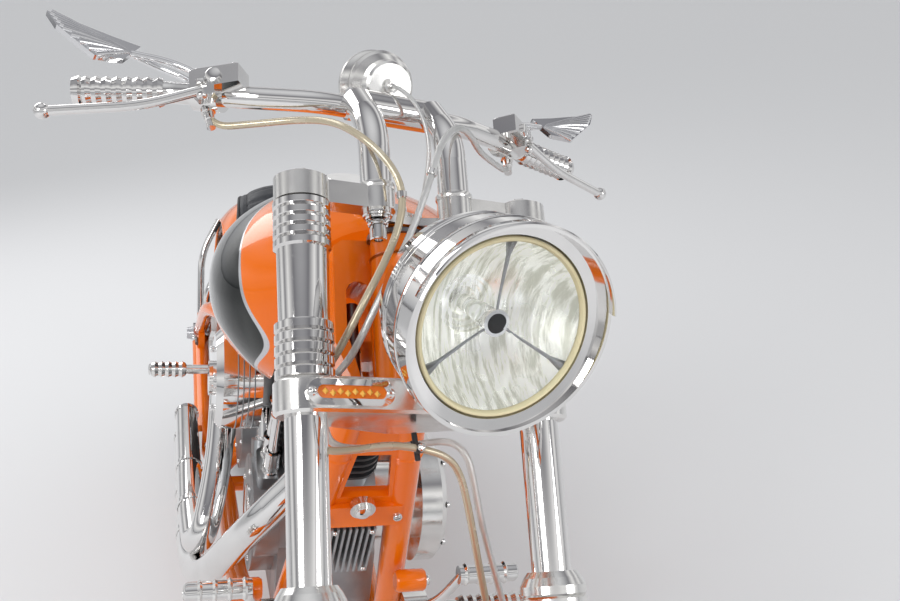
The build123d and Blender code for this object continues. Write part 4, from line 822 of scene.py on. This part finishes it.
def hoses():
    style = {
        "brake": {"radius": 4.0, "steps": 12, "sides": 14, "fitting": 6.2},
        "second": {"radius": 3.5, "steps": 12, "sides": 12, "fitting": 6.2, "wire": 0.42, "strands": 10,
                   "pitch": 26},
        "lead": {"radius": 2.3, "steps": 20, "sides": 10, "fitting": 3.4, "wire": 0.3, "strands": 5,
                 "pitch": 18},
        "fitting": [(0, -0.5), (0, 7), (-0.6, 8), (-0.6, 11), (-2.6, 12)], "nutWider": 1.2, "nutHeight": 4,
        "band": [(4.2, -4), (5.4, -3), (5.4, 3), (4.2, 4)],
        # the clip's blocks: half sizes, edge, place, direction
        "clip": [((5.2, 5.2, 3.5), 2.0, (2, -24, -24), (0.95, 0.05, -0.1)),
                 ((4.8, 4.8, 3.5), 2.0, (8, 2, -17), (0.9, -0.2, 0.1)),
                 ((1.6, 15, 3), 1.0, (5, -11, -20.5), (0.9, 0.1, 0.1))],
        "clipScrew": (4.4, 3), "clipScrewSpot": (3, -29, -24), "clipScrewWay": (0, -1, -0.2)}
    paths, tubes, fittings = {}, {}, []
    for name, route in hoseRoutes.items():
        size = style[name]
        paths[name] = routePoints(route, size["steps"])
        tubes[name] = [(rod(paths[name], size["radius"], size["sides"]), fork)]
        radius = size["fitting"]
        for end, inward in ((route[0], route[1]), (route[-1], route[-2])):
            place = facing(fork, end, Vector(inward) - Vector(end))
            fittings.append((lathe([(0, -0.5)] + moved(style["fitting"], radius, 0), 20), place))
            fittings.append((hexHead(radius + style["nutWider"], style["nutHeight"]),
                             place @ shifted(0, 0, 1)))
    made = piece("brakeHose", "hose_sleeve", "steering", tubes["brake"], 60)
    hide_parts("control_hoses")
    silver = tubes["second"] + tubes["lead"]
    silver += strands(paths["second"], style["second"]) + strands(paths["lead"], style["lead"])
    made = piece("braidedHoses", "silver_braid", "steering", silver, 170)
    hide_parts("control_hoses")
    for name in ("brake", "second"):
        path = paths[name]
        for number in (len(path) // 4, len(path) // 2):
            place = facing(fork, path[number], path[number + 1] - path[number])
            fittings.append((lathe(style["band"], 20), place))
    piece("hoseFittings", "chrome", "steering", fittings)
    clip = [(block(-Vector(half), half, edge), facing(fork, spot, way))
            for half, edge, spot, way in style["clip"]]
    piece("hoseClip", "black_rubber", "steering", clip)
    place = facing(fork, style["clipScrewSpot"], style["clipScrewWay"])
    piece("hoseClipScrew", "chrome", "steering", [(domeScrew(*style["clipScrew"]), place)])


def cushion():
    # the saddle and its pillion hump as one padded form with sewn channels across it
    style = {"rowStep": 4.2, "smoothings": 3, "across": 44, "crown": 2.4,
             "pitch": 34, "channel": 3.4, "channelWidth": 3.2, "sewnFrom": 800, "sewnTo": 1260,
             "seam": 0.86, "seamDepth": 3.06, "seamWidth": 3.0,
             "welt": 3.2, "weltOut": 1.0, "weltDrop": 1.5, "stitch": 0.6, "stitchRun": 0.6, "stitchDrop": 2.2}
    stations = [
        # y, half width, crown z, edge z, foot z
        (772, 34, 752, 738, 690), (786, 44, 728, 716, 650), (804, 60, 704, 690, 616),
        (832, 82, 680, 664, 584), (868, 96, 666, 648, 566), (912, 103, 661, 644, 562),
        (950, 104, 676, 654, 566), (986, 104, 704, 676, 574), (1014, 103, 724, 692, 588),
        (1040, 101, 733, 698, 602), (1076, 98, 729, 696, 618), (1120, 92, 715, 688, 634),
        (1170, 82, 697, 676, 640), (1215, 70, 679, 664, 636), (1255, 56, 664, 654, 634),
        (1284, 44, 652, 646, 634),
    ]
    rows = []
    for before, after in zip(stations, stations[1:]):
        steps = max(2, round((after[0] - before[0]) / style["rowStep"]))
        rows += [Vector(before).lerp(Vector(after), step / steps) for step in range(steps)]
    rows.append(Vector(stations[-1]))
    for _ in range(style["smoothings"]):
        smoothed = [(before + 2 * row + after) / 4 for before, row, after in zip(rows, rows[1:], rows[2:])]
        for row, new in zip(rows[1:], smoothed):
            row[1:] = new[1:]
    outlines = []
    for y, half, crown, edge, foot in rows:
        phase = (y - rows[0][0]) / style["pitch"] % 1
        dip = math.exp(-((min(phase, 1 - phase) * style["pitch"] / style["channelWidth"]) ** 2))
        sewn = style["sewnFrom"] < y < style["sewnTo"]
        top = []
        for step in range(style["across"] + 1):
            share = 2 * step / style["across"] - 1
            height = edge + (crown - edge) * (1 - abs(share) ** style["crown"])
            height -= style["channel"] * dip if sewn and abs(share) < style["seam"] else 0
            offSeam = (abs(share) - style["seam"]) * half
            height -= style["seamDepth"] * math.exp(-(offSeam / style["seamWidth"]) ** 2)
            top.append((half * share, height))
        skirt = [(half + 3.5, edge - 7), (half + 4.5, (edge + foot) / 2), (half + 2, foot + 8),
                 (half - 6, foot)]
        outline = top + skirt + [(-x, z) for x, z in reversed(skirt)]
        outlines.append([(x, y, z) for x, z in outline])
    part = bridged(outlines)
    bmesh.ops.holes_fill(part, edges=part.edges, sides=0)
    made = piece("seatCushion", "seat_cover", "chassis", [(part, bike)], 60)
    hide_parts("seat")
    welts = []
    for side in sides:
        line = [(side * (half + style["weltOut"]), y, edge - style["weltDrop"])
                for y, half, _, edge, _ in rows[::3]]
        welts.append((rod(line, style["welt"], 8), bike))
        lift = 1 - style["seam"] ** style["crown"]
        stitches = [Vector((side * half * style["seam"], y,
                            edge + (crown - edge) * lift - style["stitchDrop"]))
                    for y, half, crown, edge, _ in rows[6:-4:2]]
        for spot, following in zip(stitches, stitches[1:]):
            welts.append((rod([spot, spot.lerp(following, style["stitchRun"])], style["stitch"], 5), bike))
    piece("seatWelt", "black_rubber", "chassis", welts, 60)


def cylinderDetails():
    # what is fitted to the two cylinders, by the kind of piece it belongs to
    style = {
        "screws": [
            (capScrew, (6.5, 6), (0, 0, 1), [(x, y, 352) for x, y in corners(44, 50)]),
            (domeScrew, (5.4, 4.6), (0, 0, 1), [(x, y, 390) for x, y in corners(36, 42)])],
        "collar": [(-2, -4), (0, -3), (0, 2), (-2.5, 3)], "rods": [(-83, -15, 0), (-83, 15, 0)],
        "collars": [(14.5, 106), (13, 150), (11.5, 230), (12.5, 326)],
        "flange": [(66, -1.6), (67, 0), (66, 1.6)], "flangeHeight": 332,
        "nuts": [(hexHead, (8, 7), (0, 0, 1), [(-50, 0, 138), (50, 0, 138), (0, -50, 138), (0, 50, 138)])],
        "plug": (10, 14), "plugSpot": (62, 26, 302), "plugWay": (0.9, 0.35, 0.3),
        "plugCap": [(0, 34), (6.4, 33), (7.4, 12), (6.2, 11), (6.2, 8)],
        "leadStart": (92, 38, 312), "leadRoute": [(112, 70, 590), (82, 20, 560), (46, 12, 546)], "lead": 3.6,
        "coil": [(18, 446, 500), (52, 514, 548)], "coilEdge": 6}
    made = {"screws": [], "flanges": [], "nuts": [], "leads": []}
    for side, bank in zip(sides, banks):
        mirrored = Vector((1, side, 1))
        plug = facing(bank, Vector(style["plugSpot"]) * mirrored, Vector(style["plugWay"]) * mirrored)
        route = [bike.inverted() @ bank @ (Vector(style["leadStart"]) * mirrored)]
        route += [(x, stance["crank"][1] + side * y, z) for x, y, z in style["leadRoute"]]
        collars = [(lathe, (moved(style["collar"], *spot), 28), (0, 0, 1), style["rods"])
                   for spot in style["collars"]]
        made["screws"] += fitted(style["screws"] + collars, bank)
        flange = bank @ shifted(0, 0, style["flangeHeight"]) @ spun(45, "Z")
        made["flanges"].append((lathe(style["flange"], 4), flange))
        made["nuts"] += fitted(style["nuts"], bank) + [(hexHead(*style["plug"]), plug)]
        made["leads"].append((lathe(style["plugCap"], 18), plug))
        made["leads"].append((rod(routePoints(route, 12), style["lead"]), bike))
    made["leads"].append((block(*style["coil"], style["coilEdge"]), bike))
    return made


def engineDetails():
    six = range(0, 360, 60)
    style = {
        # the primary cover on the left, the timer cover and the air cleaner on the right
        "screws": [
            (domeScrew, (4.6, 3.4), (-1, 0, 0), upright((-108, 480, 323), 72, range(20, 380, 72))),
            (lathe, ([(44, 0), (44, 2.6), (41, 4), (12, 5), (0, 5.4)], 48), (-1, 0, 0), [(-108, 480, 323)]),
            (capScrew, (5.4, 5), (1, 0, 0), upright((195.6, 480, 335), 88, range(67, 293, 45))),
            (capScrew, (5.4, 5), (1, 0, 0), upright((195.6, 800, 313), 89, range(-113, 113, 45))),
            (capScrew, (5.4, 5), (1, 0, 0), [(195.4, 590, 419.5), (195.4, 590, 231.3), (195.4, 640, 416),
                                             (195.4, 640, 232), (195.4, 690, 412.5), (195.4, 690, 232.7)]),
            (lathe, ([(52, 0), (52, 3), (48, 5.4), (14, 6.4), (0, 6.6)], 56), (1, 0, 0), [(196, 800, 313)]),
            (lathe, ([(34, 0), (34, 3), (31, 5), (0, 5.6)], 48), (1, 0, 0), [(196, 480, 335)]),
            (domeScrew, (4, 3), (1, 0, 0), upright((201.4, 800, 313), 44, six)),
            (domeScrew, (4.4, 3.2), (-1, 0, 0), upright((-100, 800, 315), 66, six)),
            (capScrew, (4.8, 4.4), (-1, 0, 0), upright((-170, 480, 555), 52, (34.38, 154.7, 275.02)))],
        "ribs": [(lathe, ([(75.2, 0), (77.0, 1.8), (75.2, 3.6)], 72), (-1, 0, 0),
                  [(x, 480, 555) for x in range(-138, -113, 8)])]}
    made = cylinderDetails()
    piece("engineScrews", "chrome", "chassis", made["screws"] + fitted(style["screws"], bike))
    piece("engineFlanges", "cast_alloy", "chassis", made["flanges"] + fitted(style["ribs"], bike))
    piece("engineNuts", "bright_steel", "chassis", made["nuts"])
    piece("plugLeads", "black_rubber", "chassis", made["leads"], 50)


def frameDetails():
    style = {
        "bosses": [(84, 180, 388), (-141, 180, 390), (-133, 250, 340)], "bossScrew": (8, 6), "bossRise": 17,
        "boss": [(0, -24), (12, -24), (15, -20), (15, 14), (13, 17), (0, 17)],
        "web": (0, 100, 703.5), "webTurn": 111.306,
        "onWeb": [
            (capScrew, (6, 5), (0, 0, 1), [(-46, -206, 20), (46, -206, 20)]),
            (lathe, ([(9.4, 0), (9.4, 2), (6, 4), (0, 4.4)], 28), (0, 0, 1), [(-4, -180, 34)]),
            (domeScrew, (3.6, 3), (0, 0, 1),
             [(-30, -318, 20), (-30, -238, 20), (18, -318, 20), (18, -238, 20)])],
        "cups": [(lathe, ([(29, -3), (33.5, -2), (33.5, 3), (28, 4)], 48), (0, 0, 1),
                  [(0, 0, 40), (0, 0, 212)])],
        "headRings": [(lathe, ([(30.4, 0), (32, 2), (30.4, 4)], 40), (0, 0, 1), [(0, 0, 186), (0, 0, 216)])],
        # fitted on both sides
        "tubeRings": [(lathe, ([(18.6, -2.2), (20.6, 0), (18.6, 2.2)], 36), (5.5, 23, -58),
                       [(43.5, 137, 608)])],
        "stopNuts": [(hexHead, (9, 22), (0, 0, 1), [(44, 52, 128)])], "stop": [(44, 44, 60), (44, 50, 150)],
        "axleNuts": [(hexHead, (15, 9), (1, 0, 0), [(161, 1360, 301)])],
        "adjuster": [(164, 1262, 301), (164, 1300, 301)],
        "screws": [
            (capScrew, (7, 6), (1, 0, 0), [(167, 1298, 301)]),
            (domeScrew, (11, 5), (1, 0, 0), [(212, 140, 420)]),
            (capScrew, (5, 4), (1, 0, 0), [(100, 216, 285), (100, 236, 321)]),
            (domeScrew, (11, 4), (1, 0, 0), [(264, 872, 402)])],
        "pedalRings": [(lathe, ([(12, 0), (14.6, 3), (12, 6)], 28), (1, 0, 0),
                        [(x, 140, 420) for x in range(140, 195, 18)])],
        "spring": (-124, 208, 330), "springWay": (-0.10, -0.55, 0.83), "coil": (6.4, 1.5, 11, 58),
        "springRod": [(0, 0, -12), (0, 0, 72)]}
    web = bike @ shifted(*style["web"]) @ spun(style["webTurn"], "X")
    chromeParts, orangeParts = fitted(style["onWeb"], web), []
    steelParts, rings = fitted(style["cups"], head), []
    for spot in style["bosses"]:
        place = outward(*spot)
        orangeParts.append((lathe(style["boss"], 28), place))
        chromeParts.append((capScrew(*style["bossScrew"]), place @ shifted(0, 0, style["bossRise"])))
    for side in sides:
        orangeParts += fitted(style["tubeRings"], bike, side) + fitted(style["headRings"], head, side)
        chromeParts += fitted(style["screws"], bike, side)
        rings += fitted(style["pedalRings"], bike, side)
        steelParts += fitted(style["stopNuts"], head, side) + fitted(style["axleNuts"], bike, side)
        stop, adjuster = [[(side * x, y, z) for x, y, z in style[bar]] for bar in ("stop", "adjuster")]
        steelParts += [(rod(stop, 7, 14), head), (rod(adjuster, 4, 12), bike)]
    spring = facing(bike, style["spring"], style["springWay"])
    steelParts += [(coil(*style["coil"]), spring), (rod(style["springRod"], 2.0, 8), spring)]
    piece("frameBosses", "orange_paint", "chassis", orangeParts)
    piece("frameScrews", "chrome", "chassis", chromeParts)
    piece("frameFittings", "dark_steel", "chassis", steelParts)
    piece("pedalRings", "polished_alloy", "chassis", rings)


def exhaustDetails():
    style = {
        # each port and the direction its pipe leaves in
        "ports": [((-36, 309, 590), (0, -47, -24)), ((-36, 649, 591), (0, 57, -25))],
        "flange": [(22.4, 6), (31, 6), (32.5, 8), (32.5, 14), (31, 16), (22.4, 16)],
        "nuts": [(hexHead, (7, 7), (0, 0, 1), [(-26, 0, 15), (26, 0, 15)])],
        "clamps": [
            (lathe, ([(22.2, -6), (24.2, -5.4), (24.2, 5.4), (22.2, 6)], 40), (0, 1, 0),
             [(-191, y, z) for y in (620, 760) for z in (199, 252)]),
            (lathe, ([(19.4, -1), (22.6, -1), (24.4, 1), (24.6, 6), (22.2, 8)], 48), (0, -1, 0),
             [(-191, 990, 199), (-191, 990, 252)]),
            (capScrew, (6, 6), (0, 1, 0), [(-150, 914, 176), (-150, 914, 216)])],
        "bores": [(lathe, ([(18.8, 2), (18.8, 190), (0, 190)],), (0, -1, 0),
                   [(-191, 988, 199), (-191, 988, 252)])]}
    ports = [facing(bike, spot, way) for spot, way in style["ports"]]
    nuts = [nut for port in ports for nut in fitted(style["nuts"], port)]
    flanges = [(lathe(style["flange"], 40), port) for port in ports]
    piece("exhaustClamps", "chrome", "chassis", nuts + fitted(style["clamps"], bike))
    piece("exhaustFlanges", "dark_steel", "chassis", flanges + fitted(style["bores"], bike))


def wheelDetails():
    style = {
        "lip": [(-10, -1), (-4, 3.4), (2.6, 4.4), (4, 1), (-0.2, -3)], "screw": (5.4, 5),
        "screws": around(50, range(30, 390, 60)),
        "valve": [(0, 0), (3.6, 0), (3.6, 22), (4.6, 23), (4.6, 34), (3.4, 35), (0, 35)],
        "valveTurn": 30, "valveIn": 22, "valveHeight": 20, "valveLean": -70,
        # piece, frame, rim radius, bead, screw heights on its two sides, body
        "wheels": [("frontWheelTrim", frontHub, 262, 47.2, (79, 0), "front_wheel_set"),
                   ("rearWheelTrim", rearHub, 225, 80, (107, 98), "rear_wheel_set")]}
    for name, hub, rim, bead, heights, body in style["wheels"]:
        parts = []
        for face, height in zip((hub, hub @ spun(180, "X")), heights):
            spots = [(x, y, height) for x, y in style["screws"]]
            parts.append((lathe(moved(style["lip"], rim, bead), 96), face))
            parts += fitted([(capScrew, style["screw"], (0, 0, 1), spots)], face)
        valve = hub @ spun(style["valveTurn"], "Z") @ shifted(rim - style["valveIn"], 0, style["valveHeight"])
        parts.append((lathe(style["valve"], 14), valve @ spun(style["valveLean"], "Y")))
        piece(name, "chrome", body, parts)


def caliperDetails():
    style = {
        "axle": [(domeScrew, (6, 4), (1, 0, 0), [(170, -56, -525)]),
                 (capScrew, (4, 4), (0, -1, 0), [(129, -83.4, -535), (129, -83.4, -515)])],
        "front": [(capScrew, (5.5, 5), (0, 0, 1), [(136, -30, 104), (136, 30, 104)])], "frontTurn": 150,
        "rear": [(capScrew, (5.5, 5), (0, 0, -1), [(-136, -30, -126), (-136, 30, -126)])], "rearTurn": 62}
    screws = fitted(style["axle"], fork, -1) + fitted(style["axle"], fork)
    screws += fitted(style["front"], frontHub @ spun(style["frontTurn"], "Z"))
    piece("caliperScrewsFront", "chrome", "steering", screws)
    screws = fitted(style["rear"], rearHub @ spun(style["rearTurn"], "Z"))
    piece("caliperScrewsRear", "chrome", "chassis", screws)


def beltDetails():
    style = {"tooth": [(-142.6, -1.6, 106.6), (-139.4, 1.6, 126.4)], "edge": 0.5,
             "toothTurns": range(0, 360, 5), "screws": [(capScrew, (6, 6), (0, 0, 1), [
                 (x, y, 128) for x, y in around(66, (36.1, 108.1, 180.1, 252.1, 324.1))])]}
    teeth = [(block(*style["tooth"], style["edge"], 1), rearHub @ spun(turn, "Z"))
             for turn in style["toothTurns"]]
    piece("pulleyTeeth", "bright_steel", "rear_wheel_set", teeth)
    piece("pulleyScrews", "chrome", "rear_wheel_set", fitted(style["screws"], rearHub))


def fenderBeads():
    # a rolled edge along each side of a fender: piece, frame, radius, offset, wire, turns, body
    beads = [("rearFenderBeads", rearHub, 272, 113.4, 3.4, range(118, 247, 2), "chassis"),
             ("frontFenderBeads", frontHub, 299.5, 72.6, 2.6, range(136, 233, 2), "steering")]
    for name, hub, radius, offset, wire, turns, body in beads:
        paths = [[(x, y, side * offset) for x, y in around(radius, turns)] for side in sides]
        piece(name, "orange_paint", body, [(rod(path, wire), hub) for path in paths])


def rearDetails():
    style = {
        "lampTurn": 128, "lampReach": 366, "lens": [(-38, -17, -1), (38, 17, 4)], "bars": range(-12, 13, 4),
        "bar": [(-34, -0.7, 3.4), (34, 0.7, 5)],
        "capRing": [(38, -4), (40, -2), (40, 1), (37, 3)], "capRingSpot": (0, 430, 870),
        "capSide": [(36.6, 0), (37.4, 3), (36.6, 6), (37.4, 9), (36.2, 12)], "capSideSpot": (0, 430, 868),
        "tap": [(0, 0), (9, -1), (10, -14), (7, -18), (7, -34), (0, -34)], "tapSpot": (-70, 560, 640),
        "tapLever": [(-76, 560, 616), (-104, 560, 616), (-110, 560, 600)], "lever": 3.4}
    lens = rearHub @ spun(style["lampTurn"], "Z") @ shifted(style["lampReach"], 0, 0)
    lens = lens @ spun(90, "Y") @ spun(90, "Z")
    parts = [(block(*style["lens"], 3, 3), lens)]
    parts += [(block(*style["bar"], 0.4, 1), lens @ shifted(0, shift, 0)) for shift in style["bars"]]
    piece("tailLampLens", "red_plastic", "chassis", parts)
    piece("tankCapTrim", "chrome", "chassis", [
        (lathe(style["capRing"], 56), bike @ shifted(*style["capRingSpot"])),
        (lathe(style["capSide"], 40), bike @ shifted(*style["capSideSpot"])),
        (lathe(style["tap"], 24), bike @ shifted(*style["tapSpot"])),
        (rod(style["tapLever"], style["lever"], 12), bike)])


def standDetails():
    # the stand's own frame: X down the leg, Z along the pivot it folds about
    style = {"pivot": (146, 470, 158), "down": (0.42, -0.42, -0.80), "folded": (0.10, 0.99, 0.02),
             "coil": (5.6, 1.5, 14, 74), "coilSpot": (30, 12, 12),
             "screw": [(3.4, -2), (3.4, 8), (6, 8), (6, 11), (0, 11)], "screwSpot": (108, 12, 8)}
    down = Vector(style["down"]).normalized()
    axis = down.cross(Vector(style["folded"])).normalized()
    turn = Matrix((down, axis.cross(down), axis)).transposed().to_4x4()
    place = bike @ Matrix.Translation(style["pivot"]) @ turn
    spring = place @ shifted(*style["coilSpot"]) @ spun(90, "Y")
    piece("standSpring", "bright_steel", "stand", [(coil(*style["coil"]), spring)])
    screw = lathe(style["screw"], 18)
    piece("standScrew", "chrome", "stand", [(screw, place @ shifted(*style["screwSpot"]))])


for stage in (lampInside, lampOutside, gaugeDetails, treeDetails, markerDetails, mirrorDetails,
              controlDetails, tyres, hoses, cushion, engineDetails, frameDetails, exhaustDetails,
              wheelDetails, caliperDetails, beltDetails, fenderBeads, rearDetails, standDetails):
    stage()
    print(stage.__name__, "done")


def placeCamera():
    # the photograph's viewpoint, held in the turned fork's frame
    view = {"focal": 957.386, "imageWidth": 900, "sensor": 36.0, "place": (-419.43, -916.214, -160.005),
            "right": (0.891945, -0.447605, -0.063905), "below": (0.072717, 0.281508, -0.9568)}
    data = bpy.data.cameras.new("viewpoint")
    data.sensor_width = view["sensor"]
    data.lens = view["focal"] * view["sensor"] / view["imageWidth"]
    data.clip_start = 0.02
    camera = bpy.data.objects.new("viewpoint", data)
    bpy.context.scene.collection.objects.link(camera)
    right, below = Vector(view["right"]), Vector(view["below"])
    turn = fork.to_3x3().normalized() @ Matrix((right, -below, -right.cross(below))).transposed()
    camera.matrix_world = Matrix.Translation(fork @ Vector(view["place"])) @ turn.to_4x4()
    bpy.context.scene.camera = camera


def studioWorld():
    # the camera sees plain paper; the chrome sees a bright room with darker bands in it
    light = {"backdrop": (0.80, 0.81, 0.82), "ambient": 0.92, "room": [
        (0.0, (0.30, 0.30, 0.31)), (0.42, (0.20, 0.20, 0.20)), (0.495, (0.03, 0.03, 0.035)),
        (0.52, (0.55, 0.56, 0.58)), (0.60, (1.0, 1.0, 1.0)), (0.67, (0.28, 0.28, 0.30)),
        (0.76, (1.0, 1.0, 1.0)), (0.86, (0.22, 0.22, 0.24)), (1.0, (0.80, 0.81, 0.83))]}
    world = bpy.data.worlds.new("studioWorld")
    bpy.context.scene.world = world
    board = Board(world)
    paper = board.tree.nodes["Background"]
    height = board.axes(Wire(board, board.coordinates["Generated"]))[2]
    room = board.node("ShaderNodeValToRGB", {"stops": light["room"]}, {0: height * 0.5 + 0.5})
    glossy = board.node("ShaderNodeLightPath", output="Is Glossy Ray")
    board.plug(paper.inputs["Color"], board.blend(glossy, light["backdrop"], room))
    board.plug(paper.inputs["Strength"], light["ambient"])


def studio():
    style = {"floorSize": 400, "floor": (0.74, 0.74, 0.75), "floorRough": 0.75, "aim": (0, 0.2, 0.7),
             # area lamps: name, place, size, power
             "lamps": [("keyLamp", (-2.6, -2.2, 3.0), 1.6, 60), ("fillLamp", (2.6, -2.4, 1.6), 1.2, 22),
                       ("backLamp", (-1.4, 3.2, 2.8), 2.0, 40)]}
    bpy.ops.mesh.primitive_plane_add(size=style["floorSize"], location=(0, 0, 0))
    floor = bpy.context.object
    floor.name = "studioFloor"
    board = newBoard("studioFloorFinish")
    floor.data.materials.append(board.finish(Base_Color=style["floor"], Roughness=style["floorRough"]))
    studioWorld()
    for name, place, size, power in style["lamps"]:
        data = bpy.data.lights.new(name, "AREA")
        data.size = size
        data.energy = power
        made = bpy.data.objects.new(name, data)
        bpy.context.scene.collection.objects.link(made)
        made.location = place
        aim = Vector(style["aim"]) - Vector(place)
        made.rotation_euler = aim.to_track_quat("-Z", "Y").to_euler()
    bpy.context.scene.view_settings.view_transform = "Standard"


placeCamera()
studio()
print("camera and studio set")
